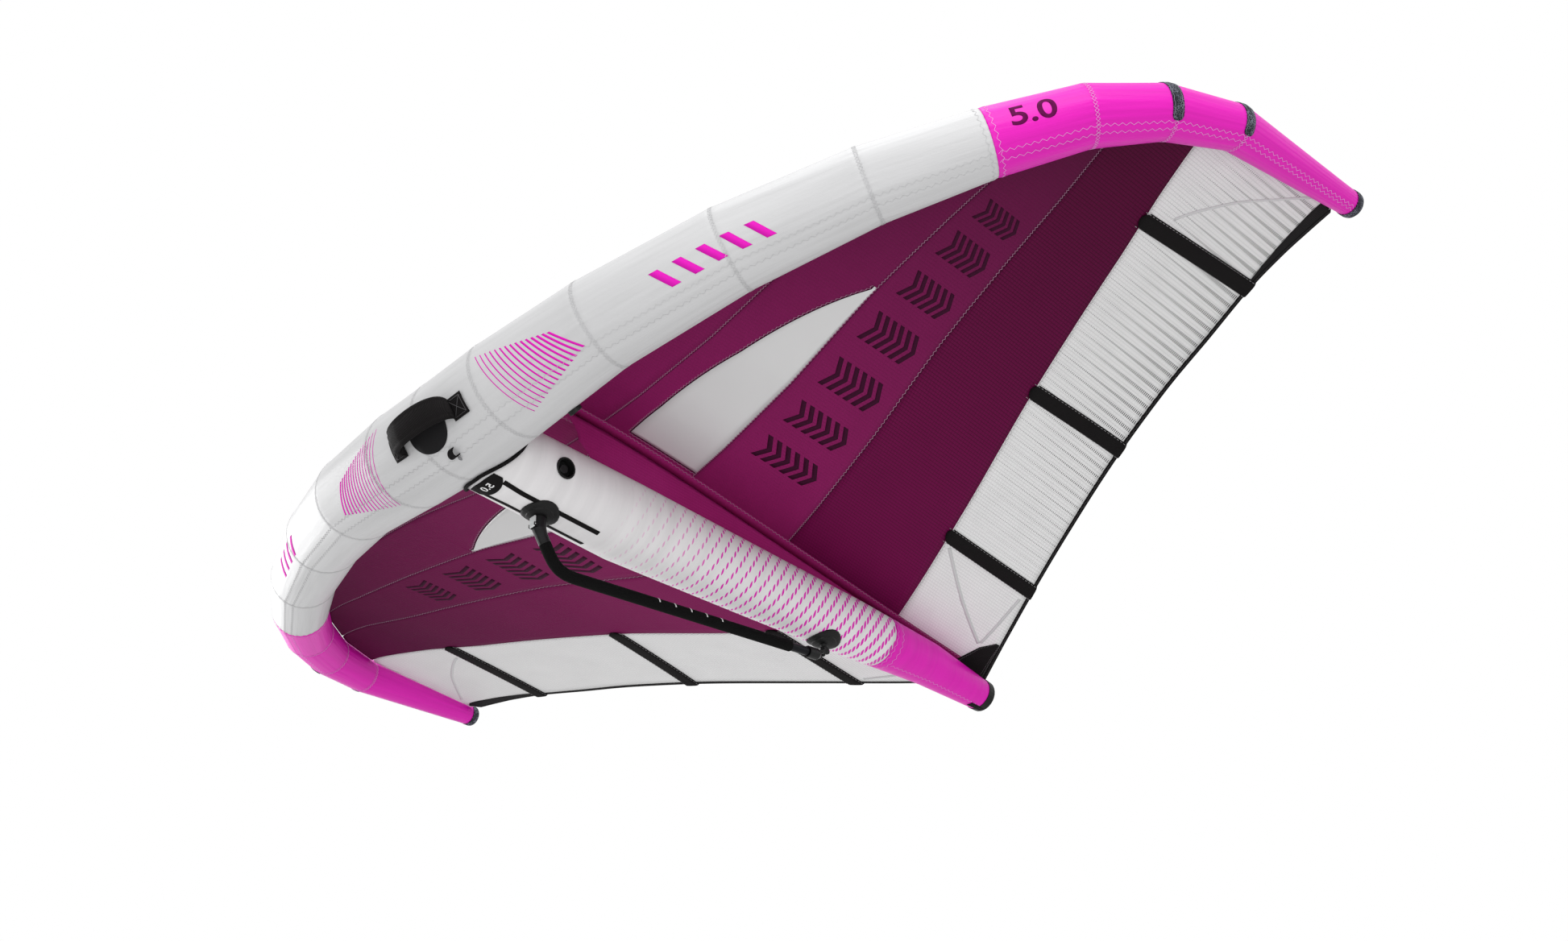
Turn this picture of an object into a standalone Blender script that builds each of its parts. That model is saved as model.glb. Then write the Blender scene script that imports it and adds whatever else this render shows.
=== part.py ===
"""Inflatable hand-held wing for foiling boards, in metres: +Z up, +X to one tip, +Y to the trailing edge.

Every cloth panel, tube, bladder, batten and fitting is its own closed solid.
"""

import math

import bmesh
import bpy
import numpy as np

# Clearances and cloth thicknesses
GAP = 0.0003
OVERLAY_GAP = 0.0007
SLEEVE_WALL = 0.0012
BLADDER_WALL = 0.0009
CANOPY_THICK = 0.0009
PATCH_THICK = 0.0012
OVERRUN = 0.01
SHARP_DEG = 40

# Leading edge tube, one side from the middle to the tip
HALF_SPAN = 1.62
LE_SWEEP = 1.266
TIP_RISE = 0.4
LE_RADIUS = 0.124
LE_X_SHARES = (0, 0.108, 0.2728, 0.4586, 0.637, 0.7747, 0.8765, 0.9414, 0.9821, 1)
LE_Y_SHARES = (0, 0.0063, 0.0363, 0.1177, 0.2164, 0.3207, 0.4281, 0.5371, 0.6714, 1)
LE_Z_SHARES = (0, 0.045, 0.165, 0.37, 0.535, 0.665, 0.7975, 0.8725, 0.9325, 1)
LE_R_SHARES = (1, 0.976, 0.875, 0.794, 0.7016, 0.617, 0.558, 0.496, 0.4218, 0.245)
TIP_STATION = 9
COLOUR_STATION = 5
LE_SIDES = 24
BLADDER_SIDES = 16

# Tip caps and wear patches over the two outer bends
CAP_LENGTH = 0.028
CAP_WALL = 0.0018
CAP_SEAT = 0.012
PATCH_STATIONS = (7, 8)
PATCH_WIDTH = 0.026
PATCH_FROM_STEP = 7
PATCH_TO_STEP = 16

# Centre strut
CHORD = 1.85
STRUT_RADIUS = 0.1
STRUT_Y_SHARES = (0.055, 0.27, 0.486, 0.703, 0.865, 0.9912)
STRUT_Z_SHARES = (-0.15, -0.2, -0.08, 0.06, 0.15, 0)
STRUT_R_SHARES = (0.95, 1, 0.88, 0.76, 0.6, 0.42)
STRUT_SPLIT_SHARE = 0.757
STRUT_NECK_SHARE = 0.07
STRUT_SIDES = 28
STRUT_BLADDER_FRONT_SHARE = 0.078
TAIL_CAP_LENGTH = 0.028
TAIL_CAP_SEAT = 0.022
BINDING_RADIUS = 0.004
BINDING_SIDES = 6
FRONT_PATCH_LENGTH = 0.05
FRONT_PATCH_HALF_STEPS = 2
FRONT_PATCH_CURVE_SHARE = 0.45

# Canopy: ribs run from the leading edge to the trailing edge
TE_X_SHARES = (0, 0.117, 0.278, 0.457, 0.605, 0.716, 0.809, 0.8765, 0.926, 0.97)
TE_Y_SHARES = (1, 0.8195, 0.6008, 0.3905, 0.2461, 0.1606, 0.0877, 0.0528, 0.036, 0.0243)
TE_Z_SHARES = (0.1375, 0.225, 0.38, 0.5675, 0.715, 0.8175, 0.9025, 0.96, 0.9975, 1.03)
CAMBER = 0.1132
CAMBER_SHARES = (1, 0.9, 0.79, 0.7, 0.5, 0.32, 0.2, 0.11, 0.05, 0.01)
CAMBER_LEAD_SHARE = 0.09
CAMBER_MIDDLE_SHARE = 1.27
CAMBER_OUTER_SHARE = 0.85
CAMBER_OUTER_STATION = 3
ATTACH_MIDDLE_DEG = 70
ATTACH_TIP_DEG = 20
SEAM_SHARES = (0.2216, 0.382, 0.568, 0.797)
SEAM_STATIONS = (4.53, 5.75, 6.75, 7.85)
RIB_STEPS = 2
PANEL_LEVELS = (5, 4, 4, 4, 5)
LEVEL_BIAS_SHARE = 1.6
PANEL_NAMES = ("front", "window", "middle", "rear", "trailing")
END_STATION = 0.03
TAPE_WIDTH = 0.012
TAPE_THICK = 0.002

# Windows, between the second panel and the third
WINDOW_FIRST_STATION = 0.27
WINDOW_LAST_STATION = 3.12
WINDOW_DEPTH = 0.217
WINDOW_CURVE_SHARE = 2.8
WINDOW_END_SHARE = 0.04

# Patches at the canopy's corners
CLEW_STATION = 0.6
CLEW_LENGTH = 0.13
CLEW_EDGE_LENGTH = 0.04
CORNER_FIRST_STATION = 6.9
CORNER_LAST_STATION = 8.93
CORNER_LENGTH = 0.026
CORNER_EDGE_LENGTH = 0.003
CORNER_FRONT_SHARE = 0.2
CORNER_STEPS = 6

# Batten pockets
POCKET_SHARES = (0.1957, 0.4315, 0.7444)
POCKET_FAN_SHARES = (0.006, 0.066, 0.08)
POCKET_NAMES = ("inner", "middle", "outer")
POCKET_WIDTH = 0.058
POCKET_HEIGHT = 0.0054
POCKET_WALL = 0.0011
POCKET_LAP = 0.012
BATTEN_WIDTH = 0.016
BATTEN_THICK = 0.002
BATTEN_END_GAP = 0.006

# Web between strut and canopy
WEB_THICK = 0.0012
WEB_FOOT_SHARE = 0.222
WEB_HEAD_SHARE = 0.165
WEB_END_SHARE = 0.91
WEB_LEVELS = 3

# Boom
BOOM_RADIUS = 0.0115
BOOM_WALL = 0.0016
GRIP_WALL = 0.0026
BOOM_DEPTH = 0.1166
BOOM_RUN_SHARES = (0.0069, 0.0191, 0.0351, 0.0489, 0.066, 0.0872, 0.1128)
BOOM_DROP_SHARES = (0.37, 0.524, 0.7256, 0.867, 0.9614, 1, 0.9914)
BOOM_END_SETBACK = 0.05
BOOM_END_DROP = 0.0406
BOOM_SIDES = 16
GRIP_END_SHARE = 0.9
GRIP_CENTRE_SHARE = 0.43
PLUG_DEPTH = 0.014
BASE_SHARE = 0.13514
BASE_RADIUS = 0.045
BASE_HEIGHT = 0.0125
BASE_RADIUS_SHARES = (0.2, 0.5, 0.8, 1, 1, 0.911, 0.733, 0.7, 0.489)
BASE_DROP_SHARES = (0, 0, 0, 0, 0.28, 0.48, 0.6, 0.84, 1)
BASE_SIDES = 24
SPIGOT_RADIUS = 0.0085
SPIGOT_LENGTH = 0.024
SPIGOT_CHAMFER = 0.0012
SPIGOT_PLAY = 0.0009
SOCKET_RADIUS = 0.0165
SOCKET_NECK_RADIUS = 0.0148
SOCKET_CUP_LENGTH = 0.029

# Latch on the front of the socket
LATCH_WIDTH = 0.016
LATCH_THICK = 0.0055
LATCH_RISE = 0.026
LATCH_FOOT = 0.006
LATCH_STAND = 0.0006
LATCH_PIN_RADIUS = 0.0015
LATCH_PIN_PLAY = 0.0004
EAR_THICK = 0.0026
EAR_HEIGHT = 0.0085
EAR_REACH = 0.0065
LATCH_PAD_WIDTH = 0.007
LATCH_PAD_HEIGHT = 0.007
BUTTON_RADIUS = 0.0042
BUTTON_HEIGHT = 0.0008

# Rear mount of the boom
REAR_SHARE = 0.64324
LUG_RADIUS = 0.0075
LUG_HALF_WIDTH = 0.005
LUG_DROP = 0.026
HINGE_PIN_RADIUS = 0.003
HINGE_PIN_PLAY = 0.0004
CHEEK_THICK = 0.0045
CHEEK_RADIUS = 0.0105
ELBOW_RADIUS = 0.0155
ELBOW_LENGTH = 0.034

# Valves
STRUT_VALVE_SHARE = 0.13243
STRUT_VALVE_DEG = 192
STRUT_VALVE_RADIUS = 0.0235
VALVE_WALL = 0.0015
VALVE_DEPTH = 0.019
VALVE_NECK_RADIUS = 0.009
VALVE_BORE_RADIUS = 0.006
VALVE_NECK_HEIGHT = 0.008
VALVE_LID_RADIUS = 0.0115
VALVE_LID_THICK = 0.004
VALVE_PLUG_LENGTH = 0.0022
VALVE_PLUG_PLAY = 0.0008
VALVE_RIM = 0.003
VALVE_RIM_THICK = 0.0018
LE_VALVE_STATION = 1.38
LE_VALVE_STEP = -3
LE_VALVE_RADIUS = 0.012
LE_VALVE_FLANGE_RADIUS = 0.018
LE_VALVE_LID_RADIUS = 0.0165
LE_VALVE_LID_HEIGHT = 0.011
LE_VALVE_STEM = 0.012
VALVE_SIDES = 20

# Handle and leash loop on the front of the leading edge
HANDLE_X = 0.03
HANDLE_DEG = 215
HANDLE_LENGTH = 0.15
HANDLE_TAB = 0.036
HANDLE_WIDTH = 0.042
HANDLE_THICK = 0.003
HANDLE_PAD_THICK = 0.008
HANDLE_HEIGHT = 0.042
HANDLE_STEPS = 10
HANDLE_CURVE_SHARE = 0.6
HANDLE_CROWN_SHARE = 1.3
PAD_LENGTH = 0.1
PAD_WIDTH = 0.108
PAD_THICK = 0.002
PAD_STEPS = 9
PAD_END_SHARE = 0.06
LEASH_X = 0.045
LEASH_DEG = 250
LEASH_WIDTH = 0.014
LEASH_HEIGHT = 0.017
LEASH_THICK = 0.0022
LEASH_REACH = 0.01
LEASH_STEPS = 8

UP = np.array((0.0, 0.0, 1.0))
RIGHT = np.array((1.0, 0.0, 0.0))
REAR = np.array((0.0, 1.0, 0.0))


def unit(vector):
    return vector / np.linalg.norm(vector)


def mirrored(points):
    return np.asarray(points) * np.array((-1.0, 1.0, 1.0))


LE_HALF = np.transpose((LE_X_SHARES, LE_Y_SHARES, LE_Z_SHARES)) * (HALF_SPAN, LE_SWEEP, TIP_RISE)
LE_POINTS = np.vstack([mirrored(LE_HALF[:0:-1]), LE_HALF])
LE_RADII = np.multiply(LE_RADIUS, (*LE_R_SHARES[:0:-1], *LE_R_SHARES))
LE_STATIONS = np.arange(-TIP_STATION, TIP_STATION + 1)
TE_HALF = np.transpose((TE_X_SHARES, TE_Y_SHARES, TE_Z_SHARES)) * (HALF_SPAN, CHORD - LE_SWEEP, TIP_RISE)
TE_HALF[:, 1] += LE_SWEEP
BASE_Y = CHORD * BASE_SHARE
REAR_Y = CHORD * REAR_SHARE
STRUT_VALVE_Y = CHORD * STRUT_VALVE_SHARE


# Materials and objects


def linear(value):
    return value / 12.92 if value <= 0.04045 else ((value + 0.055) / 1.055) ** 2.4


def material(name, hex_colour, roughness, metallic):
    made = bpy.data.materials.new(name)
    made.use_nodes = True
    shader = made.node_tree.nodes["Principled BSDF"]
    channels = [int(hex_colour[i : i + 2], 16) / 255 for i in (1, 3, 5)]
    shader.inputs["Base Color"].default_value = (*map(linear, channels), 1)
    shader.inputs["Roughness"].default_value = roughness
    shader.inputs["Metallic"].default_value = metallic
    return made


LOOKS = {
    "dacron_grey": ("#dedede", 0.6, 0),
    "dacron_magenta": ("#e31fc0", 0.5, 0),
    "dacron_white": ("#ececec", 0.6, 0),
    "cloth_magenta": ("#8e2766", 0.6, 0),
    "cloth_burgundy": ("#5d1840", 0.6, 0),
    "cloth_white": ("#e3e3e3", 0.6, 0),
    "film": ("#d2d2d2", 0.3, 0),
    "black_cloth": ("#161416", 0.75, 0),
    "bladder": ("#d8dcdf", 0.35, 0),
    "black_rubber": ("#141414", 0.6, 0),
    "black_plastic": ("#1b1b1c", 0.35, 0),
    "grey_plastic": ("#c4c6c6", 0.4, 0),
    "black_foam": ("#0e0e0e", 0.85, 0),
    "boom_metal": ("#1d1d1f", 0.35, 0.8),
    "batten": ("#c9cdb4", 0.4, 0),
}


def new_object(name, vertices, faces, look, pivot=None):
    """One closed mesh with its faces turned out, at its pivot."""
    pivot = np.zeros(3) if pivot is None else np.asarray(pivot)
    mesh = bpy.data.meshes.new(name)
    mesh.from_pydata([tuple(vertex - pivot) for vertex in np.asarray(vertices, float)], [], faces)
    edit = bmesh.new()
    edit.from_mesh(mesh)
    bmesh.ops.delete(edit, geom=[v for v in edit.verts if not v.link_faces], context="VERTS")
    bmesh.ops.triangulate(edit, faces=edit.faces, quad_method="SHORT_EDGE", ngon_method="BEAUTY")
    bmesh.ops.recalc_face_normals(edit, faces=edit.faces)
    edit.to_mesh(mesh)
    edit.free()
    mesh.shade_smooth()
    mesh.set_sharp_from_angle(angle=math.radians(SHARP_DEG))
    mesh.materials.append(material(name, *LOOKS[look]))
    made = bpy.data.objects.new(name, mesh)
    made.location = pivot - ORIGIN
    bpy.context.scene.collection.objects.link(made)
    return made


def combine(target, other, operation):
    """A Boolean of the target with a hidden helper."""
    other.hide_render = True
    other.display_type = "WIRE"
    change = target.modifiers.new(other.name, "BOOLEAN")
    change.operation = operation
    change.solver = "EXACT"
    change.object = other


# Swept, turned and sheet bodies


def frames_along(points, up):
    """The side and top vectors of each mitre plane, stretched so that the tube stays round past the bend."""
    steps = [unit(b - a) for a, b in zip(points[:-1], points[1:])]
    frames = []
    for first, second in zip([steps[0], *steps], [*steps, steps[-1]]):
        along = unit(first + second)
        side = unit(np.cross(up, along))
        top = np.cross(along, side)
        bend = np.cross(first, second)
        if np.linalg.norm(bend) > 1e-6:
            across = unit(np.cross(along, bend))
            stretch = 1 / np.dot(first, along) - 1
            side = side + across * np.dot(side, across) * stretch
            top = top + across * np.dot(top, across) * stretch
        frames.append((side, top))
    return frames


def ring(centre, radius, frame, sides):
    angles = np.arange(sides) * 2 * math.pi / sides
    side, top = frame
    return centre + radius * (np.outer(np.cos(angles), side) + np.outer(np.sin(angles), top))


def rings_along(points, radii, up, sides):
    points = np.asarray(points, float)
    return [ring(p, r, frame, sides) for p, r, frame in zip(points, radii, frames_along(points, up))]


def ring_body(name, rings, look, loop=False, pivot=None):
    """A body through rings of equal count: closed at both ends, or joined from the last ring to the first."""
    sides = len(rings[0])
    count = len(rings)
    faces = []
    for row in range(count if loop else count - 1):
        here = row * sides
        there = (row + 1) % count * sides
        for column in range(sides):
            beside = (column + 1) % sides
            faces.append((here + column, here + beside, there + beside, there + column))
    if not loop:
        faces.append(tuple(reversed(range(sides))))
        faces.append(tuple(range((count - 1) * sides, count * sides)))
    return new_object(name, np.vstack(rings), faces, look, pivot)


def sheet_body(name, top, bottom, look, kept=None, pivot=None):
    """A thick sheet between two grids of points, without the cells that kept leaves out."""
    top, bottom = np.asarray(top), np.asarray(bottom)
    rows, columns = top.shape[:2]
    kept = np.ones((rows - 1, columns - 1), bool) if kept is None else kept
    padded = np.zeros((rows + 1, columns + 1), bool)
    padded[1:-1, 1:-1] = kept
    under = rows * columns
    faces = []
    for i in range(rows - 1):
        for j in range(columns - 1):
            if not kept[i, j]:
                continue
            a, b = i * columns + j, i * columns + j + 1
            c, d = b + columns, a + columns
            faces.append((a, b, c, d))
            faces.append((d + under, c + under, b + under, a + under))
            beside = (padded[i, j + 1], padded[i + 1, j + 2], padded[i + 2, j + 1], padded[i + 1, j])
            for free, start, end in zip(beside, (a, b, c, d), (b, c, d, a)):
                if not free:
                    faces.append((end, start, start + under, end + under))
    points = np.vstack([top.reshape(-1, 3), bottom.reshape(-1, 3)])
    return new_object(name, points, faces, look, pivot)


def turned(name, centre, axis, profile, look, sides, loop=False, pivot=None):
    """A body turned about an axis, from pairs of radius and height."""
    side = unit(np.cross(axis, RIGHT if abs(axis[0]) < 0.9 else REAR))
    frame = (side, np.cross(axis, side))
    rings = [ring(centre + axis * height, radius, frame, sides) for radius, height in profile]
    return ring_body(name, rings, look, loop, pivot)


def box(name, low, high, look):
    """A plain box, used as a helper."""
    corners = [(x, y, z) for x in (low[0], high[0]) for y in (low[1], high[1]) for z in (low[2], high[2])]
    faces = [(0, 1, 3, 2), (4, 6, 7, 5), (0, 4, 5, 1), (2, 3, 7, 6), (0, 2, 6, 4), (1, 5, 7, 3)]
    return new_object(name, corners, faces, look)


def rod(name, start, end, radius, look, sides):
    rings = rings_along([start, end], (radius, radius), UP if abs(end[2] - start[2]) < GAP else RIGHT, sides)
    return ring_body(name, rings, look)


# The leading edge


LE_FRAMES = frames_along(LE_POINTS, UP)


def le_surface(station, degrees, stand):
    """A point off the tube's skin, in line between the mitred rings on both sides of it."""
    angle = math.radians(degrees)
    low = min(math.floor(station), TIP_STATION - 1)
    ends = []
    for index in (low + TIP_STATION, low + 1 + TIP_STATION):
        side, top = LE_FRAMES[index]
        away = math.cos(angle) * side + math.sin(angle) * top
        ends.append(LE_POINTS[index] + (LE_RADII[index] + stand) * away)
    return ends[0] + (ends[1] - ends[0]) * (station - low)


def le_clearance(point):
    """Distance from a point to the leading edge tube's skin."""
    least = HALF_SPAN
    for a, b, ra, rb in zip(LE_POINTS[:-1], LE_POINTS[1:], LE_RADII[:-1], LE_RADII[1:]):
        share = np.clip(np.dot(point - a, b - a) / np.dot(b - a, b - a), 0, 1)
        least = min(least, np.linalg.norm(point - a - share * (b - a)) - ra - share * (rb - ra))
    return least


def le_sleeve(name, first, last, look):
    """An open tube of cloth between two joints, with a tail into the cap at each tip it reaches."""
    walls = []
    for shrink in (0, SLEEVE_WALL):
        rings = []
        for index in range(first + TIP_STATION, last + TIP_STATION + 1):
            frame = LE_FRAMES[index]
            one = ring(LE_POINTS[index], LE_RADII[index] - shrink, frame, LE_SIDES)
            out = unit(np.cross(*frame)) * (-1 if index == first + TIP_STATION else 1)
            at_end = index in (first + TIP_STATION, last + TIP_STATION)
            at_tip = index in (0, 2 * TIP_STATION)
            rings.append(one - out * GAP / 2 if at_end and not at_tip else one)
            if at_tip:
                rings.insert(0 if index == 0 else len(rings), one + out * CAP_SEAT)
        walls.append(rings)
    return ring_body(name, walls[0] + walls[1][::-1], look, loop=True)


def tip_cap(name, sign):
    """A cup over the end of the tube."""
    tip = LE_HALF[-1]
    along = unit(LE_HALF[-1] - LE_HALF[-2])
    hold = LE_RADII[-1] + GAP
    profile = (
        (hold / 2, CAP_SEAT + GAP),
        (hold, CAP_SEAT + GAP),
        (hold, 0),
        (hold + CAP_WALL, 0),
        (hold + CAP_WALL, CAP_LENGTH * 0.6),
        (hold, CAP_LENGTH * 0.87),
        (hold * 0.75, CAP_LENGTH),
    )
    side = unit(np.cross(UP, along))
    frame = (side, np.cross(along, side))
    rings = [ring(tip + along * height, radius, frame, LE_SIDES) for radius, height in profile]
    rings = [mirrored(one) for one in rings] if sign < 0 else rings
    return ring_body(name, rings, "black_rubber")


def le_patch(name, station, sign):
    """A wear patch that follows the tube over one bend."""
    span = np.linalg.norm(LE_HALF[station + 1] - LE_HALF[station])
    before = np.linalg.norm(LE_HALF[station] - LE_HALF[station - 1])
    stations = (station - PATCH_WIDTH / 2 / before, station, station + PATCH_WIDTH / 2 / span)
    angles = np.arange(PATCH_FROM_STEP, PATCH_TO_STEP + 1) * 360 / LE_SIDES
    grids = [
        [[le_surface(s, angle, stand) for angle in angles] for s in stations]
        for stand in (GAP + PATCH_THICK, GAP)
    ]
    top, bottom = (mirrored(grid) if sign < 0 else np.array(grid) for grid in grids)
    return sheet_body(name, top, bottom, "black_cloth")


# The canopy's surface


def attach_point(station):
    degrees = np.interp(station, (0, TIP_STATION), (ATTACH_MIDDLE_DEG, ATTACH_TIP_DEG))
    return le_surface(station, degrees, GAP + CANOPY_THICK)


def rib(station):
    """Both ends of a rib and the height of its camber."""
    whole = np.arange(TIP_STATION + 1)
    low = int(min(math.floor(station), TIP_STATION - 1))
    share = station - low
    front = attach_point(low) * (1 - share) + attach_point(low + 1) * share
    rear = np.array([np.interp(station, whole, TE_HALF[:, k]) for k in range(3)])
    return front, rear, CAMBER * np.interp(station, whole, CAMBER_SHARES)


def camber(station, level):
    """The camber curve as a share of its peak: it rises fast behind the leading edge and falls off to the rear."""
    places, powers = (0, CAMBER_OUTER_STATION), (CAMBER_MIDDLE_SHARE, CAMBER_OUTER_SHARE)
    power = np.interp(station, places, powers)
    start = CAMBER_LEAD_SHARE * (power + 1)
    peak = (math.sqrt(start**2 + 4 * power * CAMBER_LEAD_SHARE) - start) / (2 * power)
    heights = [u / (u + CAMBER_LEAD_SHARE) * (1 - u) ** power for u in (level, peak)]
    return heights[0] / heights[1]


def canopy_point(station, level):
    """A point of the canopy's middle surface; the other side has negative stations."""
    front, rear, height = rib(abs(station))
    level = min(max(level, 0.0), 1.0)
    point = front + (rear - front) * level + UP * height * camber(abs(station), level)
    return mirrored(point) if station < 0 else point


def seam_level(index, station):
    """Where a seam crosses a rib, as a share of the rib: 0 beyond the seam's end at the leading edge."""
    if index < 0 or station >= SEAM_STATIONS[index]:
        return 0.0
    front, rear, _ = rib(station)
    middle = np.array((0.0, SEAM_SHARES[index] * CHORD))
    end = rib(SEAM_STATIONS[index])[0][:2]
    along, across = rear[:2] - front[:2], end - middle
    cross = along[0] * across[1] - along[1] * across[0]
    away = middle - front[:2]
    return max(0.0, (away[0] * across[1] - away[1] * across[0]) / cross)


def rib_length(station):
    front, rear, _ = rib(station)
    return np.linalg.norm(rear - front)


def window_levels(station):
    """The levels of a window's front and rear edge on one rib."""
    rear = seam_level(1, station)
    share = (station - WINDOW_FIRST_STATION) / (WINDOW_LAST_STATION - WINDOW_FIRST_STATION)
    share = min(max(share, 0.0), 1.0)
    depth = WINDOW_DEPTH * max(1 - share**WINDOW_CURVE_SHARE, WINDOW_END_SHARE)
    return rear - depth / rib_length(station), rear


def sheet_on_canopy(name, stations, levels, look, thick, drop, sign, kept=None):
    """A sheet through given levels of given ribs, its middle a drop below the canopy's middle."""
    grid = np.array([[canopy_point(s, v) for v in row] for s, row in zip(stations, levels)])
    grid = grid + RIGHT * GAP if sign else grid
    grid = mirrored(grid) if sign < 0 else grid
    middle = grid - UP * drop
    return sheet_body(name, middle + UP * thick / 2, middle - UP * thick / 2, look, kept)


def panel_levels(index, station):
    """The levels of one panel on one rib, closer together at the front, where the canopy bends most."""
    inset = GAP / 2 / rib_length(station)
    front = seam_level(index - 1, station) + inset
    if index == len(SEAM_STATIONS):
        rear = 1 - (TAPE_WIDTH + GAP) / rib_length(station)
    else:
        rear = max(seam_level(index, station) - inset, front + inset)
    steps = np.linspace(0, 1, PANEL_LEVELS[index] + 1) ** (LEVEL_BIAS_SHARE if index == 0 else 1)
    return front + (rear - front) * steps


def panel_stations(index):
    last = SEAM_STATIONS[index] - END_STATION if index < len(SEAM_STATIONS) else TIP_STATION - END_STATION
    marks = {0.0, last}
    marks.update(k / RIB_STEPS for k in range(1, TIP_STATION * RIB_STEPS) if k / RIB_STEPS < last)
    if index > 0:
        marks.add(SEAM_STATIONS[index - 1])
    if PANEL_NAMES[index] == "window":
        marks.update((WINDOW_FIRST_STATION, WINDOW_LAST_STATION))
    return sorted(marks)


def middle_profile():
    """The canopy's points along its middle, panel by panel."""
    levels = np.concatenate([panel_levels(index, 0.0) for index in range(len(PANEL_NAMES))])
    return np.array([canopy_point(0, level) for level in levels])


def canopy_panel(index, sign, suffix):
    stations = panel_stations(index)
    steps = PANEL_LEVELS[index]
    kept = np.ones((len(stations) - 1, steps), bool)
    levels = [panel_levels(index, s) for s in stations]
    if PANEL_NAMES[index] == "window":
        for row, s in zip(levels, stations):
            inside = WINDOW_FIRST_STATION <= s <= WINDOW_LAST_STATION
            edge = window_levels(s)[0] - GAP / 2 / rib_length(s) if inside else row[-2]
            row[:-1] = np.linspace(row[0], edge, steps)
        for i, (a, b) in enumerate(zip(stations[:-1], stations[1:])):
            kept[i, -1] = not (a >= WINDOW_FIRST_STATION and b <= WINDOW_LAST_STATION)
    look = ("cloth_magenta", "cloth_magenta", "cloth_magenta", "cloth_burgundy", "cloth_white")[index]
    name = "canopy_" + PANEL_NAMES[index] + suffix
    return sheet_on_canopy(name, stations, levels, look, CANOPY_THICK, 0, sign, kept)


def window(sign, suffix):
    marks = {WINDOW_FIRST_STATION, WINDOW_LAST_STATION}
    marks.update(k / RIB_STEPS for k in range(1, math.ceil(WINDOW_LAST_STATION * RIB_STEPS)))
    stations = np.array(sorted(marks))
    levels = []
    for s in stations:
        inset = GAP / 2 / rib_length(s)
        front, rear = window_levels(s)
        levels.append(np.linspace(front + inset, rear - inset, 4))
    stations[0] += GAP / TE_HALF[1, 0]
    stations[-1] -= GAP / TE_HALF[1, 0]
    return sheet_on_canopy("window" + suffix, stations, levels, "film", CANOPY_THICK, 0, sign)


def trailing_tape():
    marks = np.arange(0, TIP_STATION * RIB_STEPS) / RIB_STEPS
    half = [*marks, TIP_STATION - END_STATION]
    stations = [*(-np.array(half[:0:-1])), *half]
    levels = [(1 - TAPE_WIDTH / rib_length(abs(s)), 1) for s in stations]
    return sheet_on_canopy("trailing_edge_tape", stations, levels, "black_cloth", TAPE_THICK, 0, 0)


def corner_patch(sign, suffix):
    """A long triangle of cloth along the trailing edge, widest at the tip."""
    stations = np.linspace(CORNER_FIRST_STATION, CORNER_LAST_STATION, CORNER_STEPS + 1)
    levels = []
    for s in stations:
        length = np.interp(s, stations[[0, -1]], (CORNER_EDGE_LENGTH, CORNER_LENGTH))
        rear = 1 - (TAPE_WIDTH + OVERLAY_GAP) / rib_length(s)
        front = max(rear - length / rib_length(s), rear * CORNER_FRONT_SHARE)
        levels.append(np.linspace(front, rear, 3))
    drop = CANOPY_THICK / 2 + OVERLAY_GAP + PATCH_THICK / 2
    name = "tip_corner_patch" + suffix
    return sheet_on_canopy(name, stations, levels, "black_cloth", PATCH_THICK, drop, sign)


def clew_patch():
    stations = np.linspace(-CLEW_STATION, CLEW_STATION, 7)
    levels = []
    for s in stations:
        length = np.interp(abs(s), (0, CLEW_STATION), (CLEW_LENGTH, CLEW_EDGE_LENGTH))
        rear = 1 - (TAPE_WIDTH + OVERLAY_GAP) / rib_length(abs(s))
        levels.append(np.linspace(rear - length / rib_length(abs(s)), rear, 4))
    drop = CANOPY_THICK / 2 + OVERLAY_GAP + PATCH_THICK / 2
    return sheet_on_canopy("clew_patch", stations, levels, "black_cloth", PATCH_THICK, drop, 0)


# Battens and their pockets


def panel_line(index, x, slope):
    """One panel's points over a line that starts at x and leans outward by the slope, row by row."""
    ribs = [[canopy_point(s, level) for level in panel_levels(index, s)] for s in panel_stations(index)]
    line = []
    for xs, ys, zs in np.transpose(ribs, (1, 2, 0)):
        y = np.interp(x, xs - slope * ys, ys)
        line.append((x + slope * y, y, np.interp(x, xs - slope * ys, zs)))
    return np.array(line)


def rings_under_canopy(x, slope, half_width, low, high, start_lap, end_lap):
    """Four-cornered rings along a batten's run, each edge a drop below the panels."""
    edges = []
    for edge_x in (x - half_width, x + half_width):
        panels = [PANEL_NAMES.index(name) for name in ("rear", "trailing")]
        rear, trailing = (panel_line(index, edge_x, slope) for index in panels)
        line = np.vstack([rear[-2:], trailing])
        places = (trailing[0, 1] - start_lap, *trailing[1:-1, 1], trailing[-1, 1] - end_lap)
        edges.append([(edge_x + slope * y, y, np.interp(y, line[:, 1], line[:, 2])) for y in places])
    drops = (UP * low, UP * low, UP * high, UP * high)
    return [np.array((a, b, b, a)) + drops for a, b in zip(*edges)]


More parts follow.
